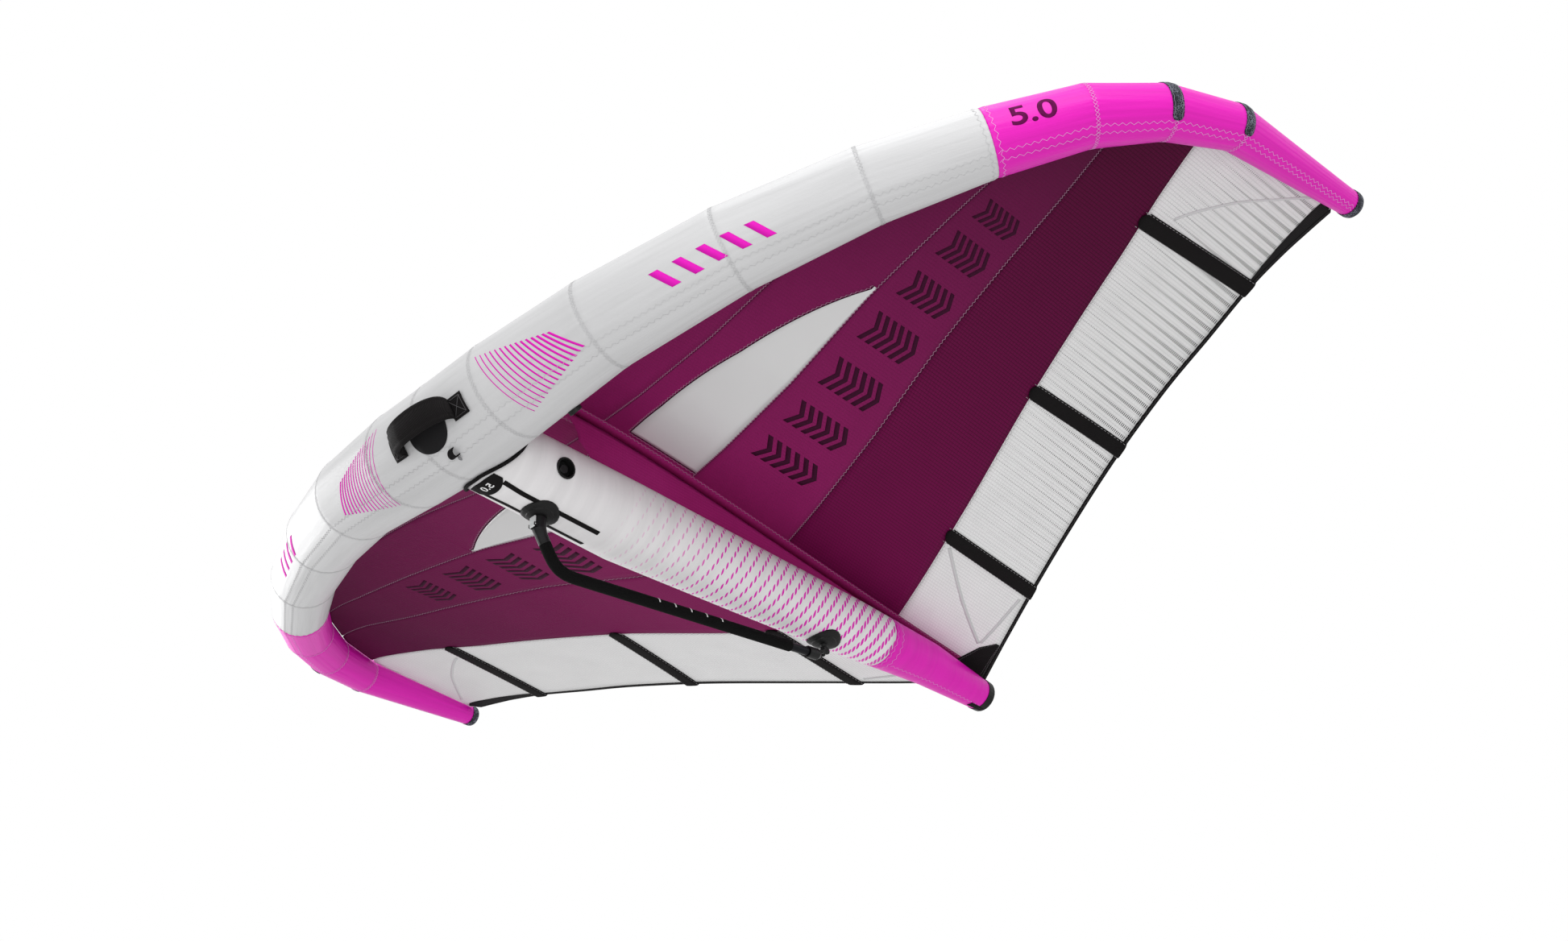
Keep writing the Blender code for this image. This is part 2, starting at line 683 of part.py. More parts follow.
def pocket_and_batten(share, slope, sign, name):
    """A flat sleeve, open at the trailing edge, and the batten in it."""
    x = share * HALF_SPAN
    top = -CANOPY_THICK / 2 - OVERLAY_GAP
    bottom = top - POCKET_HEIGHT
    inside = POCKET_WIDTH / 2 - POCKET_WALL
    outer = rings_under_canopy(x, slope, POCKET_WIDTH / 2, bottom, top, POCKET_LAP, 0)
    low, high, lap = bottom + POCKET_WALL, top - POCKET_WALL, POCKET_LAP - POCKET_WALL
    inner = rings_under_canopy(x, slope, inside, low, high, lap, 0)
    rings = outer + inner[::-1]
    low = (top + bottom - BATTEN_THICK) / 2
    lap = POCKET_LAP - BATTEN_END_GAP
    batten = rings_under_canopy(x, slope, BATTEN_WIDTH / 2, low, low + BATTEN_THICK, lap, BATTEN_END_GAP)
    if sign < 0:
        rings = [mirrored(one) for one in rings]
        batten = [mirrored(one) for one in batten]
    ring_body("batten_pocket_" + name, rings, "black_cloth")
    ring_body("batten_" + name, batten, "batten")


# The strut


STRUT_Y = np.multiply(STRUT_Y_SHARES, CHORD)
STRUT_Z = np.multiply(STRUT_Z_SHARES, STRUT_RADIUS)
STRUT_R = np.multiply(STRUT_R_SHARES, STRUT_RADIUS)


def strut_at(y):
    return np.array((0.0, y, np.interp(y, STRUT_Y, STRUT_Z))), np.interp(y, STRUT_Y, STRUT_R)


def strut_rings(places, shrink, sides):
    points, radii = zip(*(strut_at(y) for y in places))
    return rings_along(points, np.array(radii) - shrink, UP, sides)


def against_le(points, stand):
    """Moves points along the strut until they stand off the leading edge by a distance."""
    moved = np.array(points, float)
    for point in moved:
        low, high = 0.0, 2 * LE_RADIUS
        for _ in range(30):
            point[1] = (low + high) / 2
            if le_clearance(point) < stand:
                low = point[1]
            else:
                high = point[1]
    return moved


def strut_sleeve(name, first, last, look, meets_le):
    marks = sorted((*STRUT_Y, CHORD * STRUT_NECK_SHARE))
    places = [first, *(y for y in marks if first < y < last), last]
    outer = strut_rings(places, 0, STRUT_SIDES)
    inner = strut_rings(places, SLEEVE_WALL, STRUT_SIDES)
    if meets_le:
        outer[0] = against_le(outer[0], OVERLAY_GAP)
        inner[0] = against_le(inner[0], OVERLAY_GAP)
    return ring_body(name, outer + inner[::-1], look, loop=True)


def binding():
    """A bead of cloth in the corner between the strut and the leading edge."""
    stand = BINDING_RADIUS + OVERLAY_GAP
    first = strut_rings((STRUT_Y[0], STRUT_Y[1]), -stand, STRUT_SIDES)[0]
    path = against_le(first, stand)
    count = len(path)
    rings = []
    for k, point in enumerate(path):
        along = unit(path[(k + 1) % count] - path[k - 1])
        away = point - np.array((0.0, point[1], STRUT_Z[0]))
        out = unit(away - along * np.dot(away, along))
        rings.append(ring(point, BINDING_RADIUS, (out, np.cross(along, out)), BINDING_SIDES))
    return ring_body("strut_joint_binding", rings, "black_cloth", loop=True)


def tail_cap():
    end = STRUT_Y[-1]
    seat = end - TAIL_CAP_SEAT
    places = (seat, end)
    outer = strut_rings(places, -GAP - CAP_WALL, STRUT_SIDES)
    inner = strut_rings(places, -GAP, STRUT_SIDES)
    points = [strut_at(y)[0] for y in places]
    along, radius = unit(points[1] - points[0]), strut_at(end)[1]
    frame = frames_along(points, UP)[1]
    past = TAIL_CAP_LENGTH - TAIL_CAP_SEAT
    floor = [ring(points[1] + along * GAP, radius * share, frame, STRUT_SIDES) for share in (0.5, 1)]
    crown = [
        ring(points[1] + along * past * run, radius * share, frame, STRUT_SIDES)
        for run, share in ((0.6, 1), (1, 0.8))
    ]
    inner[1] = inner[1] + along * GAP
    return ring_body("strut_tail_cap", [floor[0], inner[1], inner[0], *outer, *crown], "black_rubber")


def strut_surface(y, degrees, stand):
    centre, radius = strut_at(y)
    angle = math.radians(degrees)
    return centre + (radius + stand) * np.array((-math.cos(angle), 0.0, math.sin(angle)))


def front_patch():
    """The black patch under the strut's front end, rounded at its rear."""
    half = FRONT_PATCH_HALF_STEPS
    turns = np.arange(-half, half + 1)
    grids = []
    for stand in (OVERLAY_GAP + PATCH_THICK, OVERLAY_GAP):
        rows = []
        for turn in turns:
            degrees = 270 + turn * 360 / STRUT_SIDES
            reach = FRONT_PATCH_LENGTH * (1 - FRONT_PATCH_CURVE_SHARE * (turn / half) ** 2)
            bead = 2 * BINDING_RADIUS + 3 * GAP
            start = against_le([strut_surface(STRUT_Y[0], degrees, stand)], bead + PATCH_THICK)[0][1]
            rows.append([strut_surface(y, degrees, stand) for y in np.linspace(start, start + reach, 4)])
        grids.append(rows)
    return sheet_body("strut_front_patch", grids[0], grids[1], "black_cloth")


def web():
    half = RIGHT * WEB_THICK / 2
    foot, end = CHORD * WEB_FOOT_SHARE, CHORD * WEB_END_SHARE
    middle = middle_profile()
    head = CHORD * WEB_HEAD_SHARE
    columns = {0.0, 1.0}
    columns.update(round((y - foot) / (end - foot), 3) for y in STRUT_Y if foot < y < end)
    columns.update(round((y - head) / (end - head), 3) for y in middle[:, 1] if head < y < end)
    grid = []
    for u in sorted(columns):
        row = []
        for v in np.linspace(0, 1, WEB_LEVELS + 1):
            front = foot + (head - foot) * v
            y = front + (end - front) * u
            centre, radius = strut_at(y)
            low = centre[2] + radius + GAP
            high = np.interp(y, middle[:, 1], middle[:, 2]) - CANOPY_THICK / 2 - GAP
            row.append((0.0, y, low + (high - low) * v))
        grid.append(row)
    grid = np.array(grid)
    return sheet_body("web", grid + half, grid - half, "cloth_magenta")


# Boom


def strut_under(x, y):
    """Height of the strut's underside."""
    centre, radius = strut_at(y)
    return centre[2] - math.sqrt(max(radius**2 - x**2, 0))


def mount_base(name, y, spigot_profile, look):
    """A stepped oval disc that lies along the strut's underside, with what hangs from its middle."""
    middle = strut_under(0, y) - OVERLAY_GAP
    rings = []
    for radius_share, drop_share in zip(BASE_RADIUS_SHARES, BASE_DROP_SHARES):
        centre = np.array((0.0, y, middle - BASE_HEIGHT * drop_share))
        one = ring(centre, BASE_RADIUS * radius_share, (RIGHT, REAR), BASE_SIDES)
        for point in one:
            point[2] += strut_under(point[0], point[1]) - strut_under(0, y)
        rings.append(one)
    for radius, drop in spigot_profile:
        height = middle - BASE_HEIGHT - drop
        rings.append(ring(np.array((0.0, y, height)), radius, (RIGHT, REAR), BASE_SIDES))
    return ring_body(name, rings, look)


FRONT_FACE = strut_under(0, BASE_Y) - OVERLAY_GAP - BASE_HEIGHT
SOCKET_TOP = FRONT_FACE - SPIGOT_PLAY
SOCKET_FRONT = BASE_Y - SOCKET_RADIUS
LATCH_AXIS = np.array((0.0, SOCKET_FRONT - LATCH_STAND - LATCH_THICK / 2, SOCKET_TOP - LATCH_RISE))
REAR_FACE = strut_under(0, REAR_Y) - OVERLAY_GAP - BASE_HEIGHT
BOOM_AXIS = np.array((0.0, REAR_Y, REAR_FACE - LUG_DROP + LUG_RADIUS))
BOOM_BENDS = [
    np.array((0.0, BASE_Y + (REAR_Y - BASE_Y) * run, FRONT_FACE - BOOM_DEPTH * drop))
    for run, drop in zip(BOOM_RUN_SHARES, BOOM_DROP_SHARES)
]
SOCKET_BEND = BOOM_BENDS[0]
BOOM_PATH = np.array([*BOOM_BENDS[1:], (0.0, REAR_Y - BOOM_END_SETBACK, REAR_FACE - BOOM_END_DROP)])
ORIGIN = BOOM_PATH[-2] + (BOOM_PATH[-1] - BOOM_PATH[-2]) * GRIP_CENTRE_SHARE


def front_base():
    spigot = (
        (SPIGOT_RADIUS, 0),
        (SPIGOT_RADIUS, SPIGOT_LENGTH - SPIGOT_CHAMFER),
        (SPIGOT_RADIUS - SPIGOT_CHAMFER, SPIGOT_LENGTH),
    )
    return mount_base("boom_front_base", BASE_Y, spigot, "black_rubber")


def front_socket():
    """The neck that drops off the spigot: a bore above for the spigot and one below for the tube."""
    top = np.array((0.0, BASE_Y, SOCKET_TOP))
    cup = top - UP * SOCKET_CUP_LENGTH
    end = BOOM_PATH[0]
    path = [top, cup, SOCKET_BEND, end]
    frames = frames_along(path, RIGHT)
    radii = (SOCKET_RADIUS, SOCKET_RADIUS, SOCKET_NECK_RADIUS, SOCKET_NECK_RADIUS)
    outer = [ring(place, radius, frame, BOOM_SIDES) for place, radius, frame in zip(path, radii, frames)]
    bore = SPIGOT_RADIUS + SPIGOT_PLAY
    floor = top - UP * (SPIGOT_LENGTH + SPIGOT_PLAY)
    upper = [ring(floor, bore / 2, frames[0], BOOM_SIDES), ring(floor, bore, frames[0], BOOM_SIDES)]
    upper.append(ring(top, bore, frames[0], BOOM_SIDES))
    back = unit(path[2] - path[3])
    lower_bore = BOOM_RADIUS + GAP
    roof = end + back * (PLUG_DEPTH + GAP)
    lower = [ring(end, lower_bore, frames[3], BOOM_SIDES), ring(roof, lower_bore, frames[3], BOOM_SIDES)]
    lower.append(ring(roof, lower_bore / 2, frames[3], BOOM_SIDES))
    body = ring_body("boom_front_socket", [*upper, *outer, *lower], "black_plastic", pivot=BOOM_AXIS)
    inside = LATCH_WIDTH / 2 + GAP
    rear = SOCKET_FRONT + EAR_REACH
    for sign in (-1, 1):
        left, right = sorted((sign * inside, sign * (inside + EAR_THICK)))
        low = (left, LATCH_AXIS[1] - LATCH_THICK / 2, LATCH_AXIS[2] - EAR_HEIGHT / 2)
        high = (right, rear, LATCH_AXIS[2] + EAR_HEIGHT / 2)
        combine(body, box(f"ear_{sign}", low, high, "black_plastic"), "UNION")
    reach = RIGHT * (inside + EAR_THICK + OVERRUN)
    bore_radius = LATCH_PIN_RADIUS + LATCH_PIN_PLAY
    hole = rod("ear_bore", LATCH_AXIS - reach, LATCH_AXIS + reach, bore_radius, "black_plastic", 10)
    combine(body, hole, "DIFFERENCE")
    half = LATCH_PAD_WIDTH / 2 + SPIGOT_PLAY
    height = LATCH_PAD_HEIGHT / 2 + SPIGOT_PLAY
    middle = SOCKET_TOP - LATCH_RISE / 3
    low, high = (-half, SOCKET_FRONT - OVERRUN, middle - height), (half, BASE_Y, SOCKET_TOP + OVERRUN)
    slot = box("pad_slot", low, high, "black_plastic")
    combine(body, slot, "DIFFERENCE")
    return body


def latch():
    """A lever on the socket's front whose pad presses on the spigot."""
    half = LATCH_WIDTH / 2
    front = LATCH_AXIS[1] - LATCH_THICK / 2
    rear = LATCH_AXIS[1] + LATCH_THICK / 2
    profile = (
        (rear, LATCH_AXIS[2]),
        (rear, SOCKET_TOP - LATCH_THICK / 2),
        (front + LATCH_THICK / 2, SOCKET_TOP - LATCH_THICK / 4),
        (front, SOCKET_TOP - LATCH_THICK),
        (front, LATCH_AXIS[2] - LATCH_FOOT / 2),
        (LATCH_AXIS[1], LATCH_AXIS[2] - LATCH_FOOT),
    )
    count = len(profile)
    points = [(x, y, z) for x in (-half, half) for y, z in profile]
    faces = [tuple(range(count)), tuple(reversed(range(count, 2 * count)))]
    faces += [(k, (k + 1) % count, count + (k + 1) % count, count + k) for k in range(count)]
    body = new_object("boom_latch", points, faces, "grey_plastic", pivot=LATCH_AXIS)
    reach = RIGHT * (half + GAP + EAR_THICK)
    pin = rod("latch_pin", LATCH_AXIS - reach, LATCH_AXIS + reach, LATCH_PIN_RADIUS, "grey_plastic", 10)
    combine(body, pin, "UNION")
    middle = SOCKET_TOP - LATCH_RISE / 3
    pad_low = (-LATCH_PAD_WIDTH / 2, LATCH_AXIS[1], middle - LATCH_PAD_HEIGHT / 2)
    pad_high = (LATCH_PAD_WIDTH / 2, BASE_Y - SPIGOT_RADIUS - SPIGOT_PLAY, middle + LATCH_PAD_HEIGHT / 2)
    combine(body, box("latch_pad", pad_low, pad_high, "grey_plastic"), "UNION")
    button_start = np.array((0.0, front - BUTTON_HEIGHT, SOCKET_TOP - LATCH_RISE / 2))
    button_end = np.array((0.0, LATCH_AXIS[1], SOCKET_TOP - LATCH_RISE / 2))
    combine(body, rod("latch_button", button_start, button_end, BUTTON_RADIUS, "grey_plastic", 16), "UNION")
    return body


def boom_tube():
    """The bent tube, open at both ends, with a straight plug length inside each fitting."""
    path = BOOM_PATH.copy()
    path[0] = path[0] + unit(SOCKET_BEND - path[0]) * PLUG_DEPTH
    path = np.vstack([path[:1], BOOM_PATH[:1], path[1:]])
    outer = rings_along(path, np.full(len(path), BOOM_RADIUS), RIGHT, BOOM_SIDES)
    inner = rings_along(path, np.full(len(path), BOOM_RADIUS - BOOM_WALL), RIGHT, BOOM_SIDES)
    return ring_body("boom_tube", outer + inner[::-1], "boom_metal", loop=True, pivot=BOOM_AXIS)


def boom_grip():
    path = BOOM_PATH.copy()
    path[-1] = path[-2] + (path[-1] - path[-2]) * GRIP_END_SHARE
    path[0] = path[0] + unit(path[1] - path[0]) * GAP
    inner = rings_along(path, np.full(len(path), BOOM_RADIUS + GAP), RIGHT, BOOM_SIDES)
    outer = rings_along(path, np.full(len(path), BOOM_RADIUS + GAP + GRIP_WALL), RIGHT, BOOM_SIDES)
    return ring_body("boom_grip", outer + inner[::-1], "black_foam", loop=True, pivot=BOOM_AXIS)


def rear_base():
    """The rear disc with a lug and pin that the boom swings on."""
    neck = ((LUG_RADIUS * 1.4, 0), (LUG_RADIUS, LUG_DROP / 4))
    body = mount_base("boom_rear_base", REAR_Y, neck, "black_rubber")
    low = (-LUG_HALF_WIDTH, REAR_Y - LUG_RADIUS, BOOM_AXIS[2])
    high = (LUG_HALF_WIDTH, REAR_Y + LUG_RADIUS, REAR_FACE + GAP)
    combine(body, box("lug", low, high, "black_rubber"), "UNION")
    wide = RIGHT * LUG_HALF_WIDTH
    combine(body, rod("lug_end", BOOM_AXIS - wide, BOOM_AXIS + wide, LUG_RADIUS, "black_rubber", 16), "UNION")
    reach = RIGHT * (LUG_HALF_WIDTH + GAP + CHEEK_THICK)
    pin = rod("lug_pin", BOOM_AXIS - reach, BOOM_AXIS + reach, HINGE_PIN_RADIUS, "black_rubber", 12)
    combine(body, pin, "UNION")
    return body


def rear_fitting():
    """A fork on the lug's pin and a cup for the tube's end."""
    end = BOOM_PATH[-1]
    along = unit(BOOM_PATH[-1] - BOOM_PATH[-2])
    frame = frames_along([BOOM_PATH[-2], BOOM_PATH[-1]], RIGHT)[1]
    bore = BOOM_RADIUS + GAP
    start = end - along * PLUG_DEPTH
    profile = (
        (bore / 2, PLUG_DEPTH + GAP),
        (bore, PLUG_DEPTH + GAP),
        (bore, 0),
        (ELBOW_RADIUS, 0),
        (ELBOW_RADIUS, ELBOW_LENGTH),
        (ELBOW_RADIUS * 0.7, ELBOW_LENGTH + ELBOW_RADIUS / 2),
    )
    rings = [ring(start + along * height, radius, frame, BOOM_SIDES) for radius, height in profile]
    body = ring_body("boom_rear_fitting", rings, "black_plastic", pivot=BOOM_AXIS)
    inside = LUG_HALF_WIDTH + GAP
    foot = start + along * (PLUG_DEPTH + ELBOW_RADIUS)
    for sign in (-1, 1):
        cheek = rod(
            f"cheek_{sign}",
            BOOM_AXIS + RIGHT * sign * inside,
            BOOM_AXIS + RIGHT * sign * (inside + CHEEK_THICK),
            CHEEK_RADIUS,
            "black_plastic",
            16,
        )
        combine(body, cheek, "UNION")
        corners = []
        for x in (inside, inside + CHEEK_THICK):
            for y, z in (
                (BOOM_AXIS[1] - CHEEK_RADIUS, BOOM_AXIS[2]),
                (BOOM_AXIS[1] + CHEEK_RADIUS, BOOM_AXIS[2]),
                (foot[1] + CHEEK_RADIUS, foot[2]),
                (foot[1] - CHEEK_RADIUS, foot[2]),
            ):
                corners.append((sign * x, y, z))
        faces = [(0, 1, 2, 3), (7, 6, 5, 4), (0, 4, 5, 1), (1, 5, 6, 2), (2, 6, 7, 3), (3, 7, 4, 0)]
        combine(body, new_object(f"cheek_leg_{sign}", corners, faces, "black_plastic"), "UNION")
    reach = RIGHT * (inside + CHEEK_THICK + OVERRUN)
    bore_radius = HINGE_PIN_RADIUS + HINGE_PIN_PLAY
    hole = rod("cheek_bore", BOOM_AXIS - reach, BOOM_AXIS + reach, bore_radius, "black_plastic", 12)
    combine(body, hole, "DIFFERENCE")
    slot_low = (-inside, BOOM_AXIS[1] - 3 * CHEEK_RADIUS, BOOM_AXIS[2] - LUG_RADIUS - 2 * GAP)
    slot_high = (inside, BOOM_AXIS[1] + 3 * CHEEK_RADIUS, BOOM_AXIS[2] + 2 * CHEEK_RADIUS)
    combine(body, box("fork_slot", slot_low, slot_high, "black_plastic"), "DIFFERENCE")
    return body


# Valves


def strut_valve():
    """A cup sunk in the strut's side with a neck and a lid in it."""
    angle = math.radians(STRUT_VALVE_DEG)
    face = strut_surface(STRUT_VALVE_Y, STRUT_VALVE_DEG, 0)
    along = strut_surface(STRUT_Y[1], STRUT_VALVE_DEG, 0) - face
    out = unit(np.cross((math.sin(angle), 0.0, math.cos(angle)), along))
    radius = STRUT_VALVE_RADIUS
    profile = (
        (radius + VALVE_RIM, GAP + VALVE_RIM_THICK / 2),
        (radius + VALVE_RIM / 2, GAP + VALVE_RIM_THICK),
        (radius - VALVE_WALL, GAP + VALVE_RIM_THICK),
        (radius - VALVE_WALL, VALVE_WALL - VALVE_DEPTH),
        (VALVE_NECK_RADIUS, VALVE_WALL - VALVE_DEPTH),
        (VALVE_NECK_RADIUS, VALVE_NECK_HEIGHT - VALVE_DEPTH),
        (VALVE_BORE_RADIUS, VALVE_NECK_HEIGHT - VALVE_DEPTH),
        (VALVE_BORE_RADIUS, -VALVE_DEPTH),
        (radius, -VALVE_DEPTH),
        (radius, GAP),
        (radius + VALVE_RIM, GAP),
    )
    turned("strut_valve_body", face, out, profile, "black_rubber", VALVE_SIDES, loop=True)
    seat = VALVE_NECK_HEIGHT - VALVE_DEPTH + GAP
    lid = (
        (VALVE_BORE_RADIUS - VALVE_PLUG_PLAY, seat - VALVE_PLUG_LENGTH),
        (VALVE_BORE_RADIUS - VALVE_PLUG_PLAY, seat),
        (VALVE_LID_RADIUS, seat),
        (VALVE_LID_RADIUS, seat + VALVE_LID_THICK * 0.7),
        (VALVE_LID_RADIUS * 0.85, seat + VALVE_LID_THICK),
    )
    hinge = face + out * (seat + VALVE_LID_THICK / 2) + REAR * VALVE_LID_RADIUS
    turned("strut_valve_lid", face, out, lid, "black_plastic", VALVE_SIDES, pivot=hinge)
    return face, out


def le_valve():
    """A stem through the leading edge's rear skin, with a screw lid."""
    low, high = (step * 360 / LE_SIDES for step in (LE_VALVE_STEP, LE_VALVE_STEP + 1))
    edges = [le_surface(LE_VALVE_STATION, degrees, 0) for degrees in (low, high)]
    face = (edges[0] + edges[1]) / 2
    along = le_surface(math.ceil(LE_VALVE_STATION), low, 0) - edges[0]
    out = unit(np.cross(edges[1] - edges[0], along))
    profile = (
        (LE_VALVE_FLANGE_RADIUS, GAP),
        (LE_VALVE_FLANGE_RADIUS, GAP + VALVE_RIM_THICK),
        (LE_VALVE_RADIUS, GAP + VALVE_RIM_THICK),
        (LE_VALVE_RADIUS, GAP + 2 * VALVE_RIM_THICK),
        (VALVE_BORE_RADIUS, GAP + 2 * VALVE_RIM_THICK),
        (VALVE_BORE_RADIUS, -LE_VALVE_STEM),
        (LE_VALVE_RADIUS - VALVE_WALL, -LE_VALVE_STEM),
        (LE_VALVE_RADIUS - VALVE_WALL, GAP),
    )
    turned("leading_edge_valve_body", face, out, profile, "black_plastic", VALVE_SIDES, loop=True)
    seat = GAP + 2 * VALVE_RIM_THICK + GAP
    low = GAP + VALVE_RIM_THICK + GAP
    lid = (
        (VALVE_BORE_RADIUS - GAP, seat - VALVE_LID_THICK),
        (VALVE_BORE_RADIUS - GAP, seat),
        (LE_VALVE_RADIUS + GAP, seat),
        (LE_VALVE_RADIUS + GAP, low),
        (LE_VALVE_LID_RADIUS, low),
        (LE_VALVE_LID_RADIUS, LE_VALVE_LID_HEIGHT * 0.85),
        (LE_VALVE_LID_RADIUS * 0.9, LE_VALVE_LID_HEIGHT),
    )
    hinge = face + out * low + unit(np.cross(out, RIGHT)) * LE_VALVE_LID_RADIUS
    turned("leading_edge_valve_lid", face, out, lid, "black_plastic", VALVE_SIDES, pivot=hinge)
    return face, out


# Bladders


def le_bladder(valve_face, valve_out):
    shrink = SLEEVE_WALL + GAP + LE_RADII * (1 - math.cos(math.pi / LE_SIDES))
    points = LE_POINTS.copy()
    rings = rings_along(points, LE_RADII - shrink, UP, BLADDER_SIDES)
    body = ring_body("leading_edge_bladder", rings, "bladder")
    points[0] += unit(points[1] - points[0]) * BLADDER_WALL
    points[-1] += unit(points[-2] - points[-1]) * BLADDER_WALL
    core = rings_along(points, LE_RADII - shrink - BLADDER_WALL, UP, BLADDER_SIDES)
    combine(body, ring_body("leading_edge_air", core, "bladder"), "DIFFERENCE")
    hole = valve_hole("leading_edge_bladder_hole", valve_face, valve_out, LE_VALVE_RADIUS - VALVE_WALL + GAP)
    combine(body, hole, "DIFFERENCE")


def valve_hole(name, face, out, radius):
    profile = ((radius, -LE_RADIUS / 2), (radius, OVERRUN))
    return turned(name, face, out, profile, "bladder", VALVE_SIDES)


def strut_bladder(valve_face, valve_out):
    shrink = SLEEVE_WALL + GAP + STRUT_RADIUS * (1 - math.cos(math.pi / STRUT_SIDES))
    ends = (CHORD * STRUT_BLADDER_FRONT_SHARE, STRUT_Y[-1] - BLADDER_WALL)
    for name, inset in (("strut_bladder", 0), ("strut_air", BLADDER_WALL)):
        first, last = ends[0] + inset, ends[1] - inset
        places = [first, *STRUT_Y[1:-1], last]
        made = ring_body(name, strut_rings(places, shrink + inset, BLADDER_SIDES), "bladder")
        if inset:
            combine(body, made, "DIFFERENCE")
        else:
            body = made
    hole = valve_hole("strut_bladder_hole", valve_face, valve_out, STRUT_VALVE_RADIUS + GAP)
    combine(body, hole, "DIFFERENCE")


# Handle and leash loop


def on_le_front(x, across, stand):
    """A point off the tube's front, from its place along the span and round the tube."""
    station = np.interp(x, LE_POINTS[:, 0], LE_STATIONS)
    radius = np.interp(station, LE_STATIONS, LE_RADII)
    return le_surface(station, HANDLE_DEG + math.degrees(across / radius), stand)


def handle():
    """A padded strap with a flat sewn tab at each end, its thickness square to its own path."""
    half = HANDLE_LENGTH / 2
    path = [(-half - HANDLE_TAB, 0), (-half, 0)]
    thick = [HANDLE_THICK, HANDLE_THICK]
    for share in np.linspace(0, 1, HANDLE_STEPS + 1)[1:-1]:
        rise = HANDLE_HEIGHT * math.sin(math.pi * share) ** HANDLE_CURVE_SHARE
        path.append((-half * math.cos(math.pi * share), rise))
        thick.append(HANDLE_THICK + (HANDLE_PAD_THICK - HANDLE_THICK) * min(1, 4 * share, 4 * (1 - share)))
    path = np.array([*path, (half, 0), (half + HANDLE_TAB, 0)])
    thick += [HANDLE_THICK, HANDLE_THICK]
    steps = [unit(b - a) for a, b in zip(path[:-1], path[1:])]
    width = HANDLE_WIDTH / 2
    rings = []
    for place, depth, first, second in zip(path, thick, [steps[0], *steps], [*steps, steps[-1]]):
        along = unit(first + second)
        away = np.array((-along[1], along[0])) * depth / np.dot(along, first)
        corners = ((-width, 0), (0, 0), (width, 0), (width, 1), (0, HANDLE_CROWN_SHARE), (-width, 1))
        spots = [(across, *(place + away * up)) for across, up in corners]
        one = [on_le_front(HANDLE_X + x, across, OVERLAY_GAP + stand) for across, x, stand in spots]
        rings.append(np.array(one))
    return ring_body("handle_strap", rings, "black_cloth")


def handle_pad():
    grids = []
    for stand in (OVERLAY_GAP + PAD_THICK, OVERLAY_GAP):
        rows = []
        for u in np.linspace(-1, 1, PAD_STEPS + 1):
            reach = PAD_WIDTH / 2 * math.sqrt(max(1 - u * u, PAD_END_SHARE))
            x = HANDLE_X + u * PAD_LENGTH / 2
            rows.append([on_le_front(x, v * reach, stand) for v in np.linspace(-1, 1, PAD_STEPS + 1)])
        grids.append(rows)
    return sheet_body("handle_pad", grids[0], grids[1], "black_cloth")


def leash_loop():
    """A small loop of webbing under the handle."""
    base = math.radians(LEASH_DEG - HANDLE_DEG) * LE_RADIUS
    rings = []
    for share in np.linspace(0, 1, LEASH_STEPS + 1):
        turn = math.pi * share
        inner = (base - LEASH_REACH * math.cos(turn), OVERLAY_GAP + LEASH_HEIGHT * math.sin(turn))
        outer = (inner[0] - LEASH_THICK * math.cos(turn), inner[1] + LEASH_THICK * math.sin(turn))
        corners = ((0, *outer), (LEASH_WIDTH, *outer), (LEASH_WIDTH, *inner), (0, *inner))
        one = [on_le_front(LEASH_X + side, across, stand) for side, across, stand in corners]
        rings.append(np.array(one))
    return ring_body("leash_loop", rings, "black_cloth")


def build():
    for old in list(bpy.data.objects):
        bpy.data.objects.remove(old)
    centre = le_sleeve("leading_edge_centre_sleeve_right", 0, COLOUR_STATION, "dacron_grey")
    le_sleeve("leading_edge_centre_sleeve_left", -COLOUR_STATION, 0, "dacron_grey")
    le_sleeve("leading_edge_tip_sleeve_right", COLOUR_STATION, TIP_STATION, "dacron_magenta")
    le_sleeve("leading_edge_tip_sleeve_left", -TIP_STATION, -COLOUR_STATION, "dacron_magenta")
    for sign, suffix in ((1, "_right"), (-1, "_left")):
        tip_cap("tip_cap" + suffix, sign)
        for station, place in zip(PATCH_STATIONS, ("_inner", "_outer")):
            le_patch("wear_patch" + place + suffix, station, sign)
        for index in range(len(PANEL_NAMES)):
            canopy_panel(index, sign, suffix)
        window(sign, suffix)
        corner_patch(sign, suffix)
        for share, slope, place in zip(POCKET_SHARES, POCKET_FAN_SHARES, POCKET_NAMES):
            pocket_and_batten(share, slope, sign, place + suffix)
    trailing_tape()
    clew_patch()
    split = CHORD * STRUT_SPLIT_SHARE
    strut_front = strut_sleeve("strut_front_sleeve", STRUT_Y[0], split - GAP / 2, "dacron_white", True)
    strut_sleeve("strut_rear_sleeve", split + GAP / 2, STRUT_Y[-1], "dacron_magenta", False)
    binding()
    tail_cap()
    front_patch()
    web()
    front_base()
    front_socket()
    latch()
    boom_tube()
    boom_grip()
    rear_base()
    rear_fitting()
    face, out = strut_valve()
    combine(strut_front, valve_hole("strut_sleeve_hole", face, out, STRUT_VALVE_RADIUS + GAP), "DIFFERENCE")
    strut_bladder(face, out)
    face, out = le_valve()
    stem_hole = valve_hole("leading_edge_sleeve_hole", face, out, LE_VALVE_RADIUS - VALVE_WALL + GAP)
    combine(centre, stem_hole, "DIFFERENCE")
    le_bladder(face, out)
    handle()
    handle_pad()
    leash_loop()


build()
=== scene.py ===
"""Dresses an inflatable hand wing for foiling boards: sailcloth tubes, ripstop canopy, seams and fittings.

Cloth is a grid laid on the same surfaces as the part's solids, so the first numbers below repeat the part's.
All is in metres, with +X to the right tip, +Y to the trailing edge and +Z up.
"""

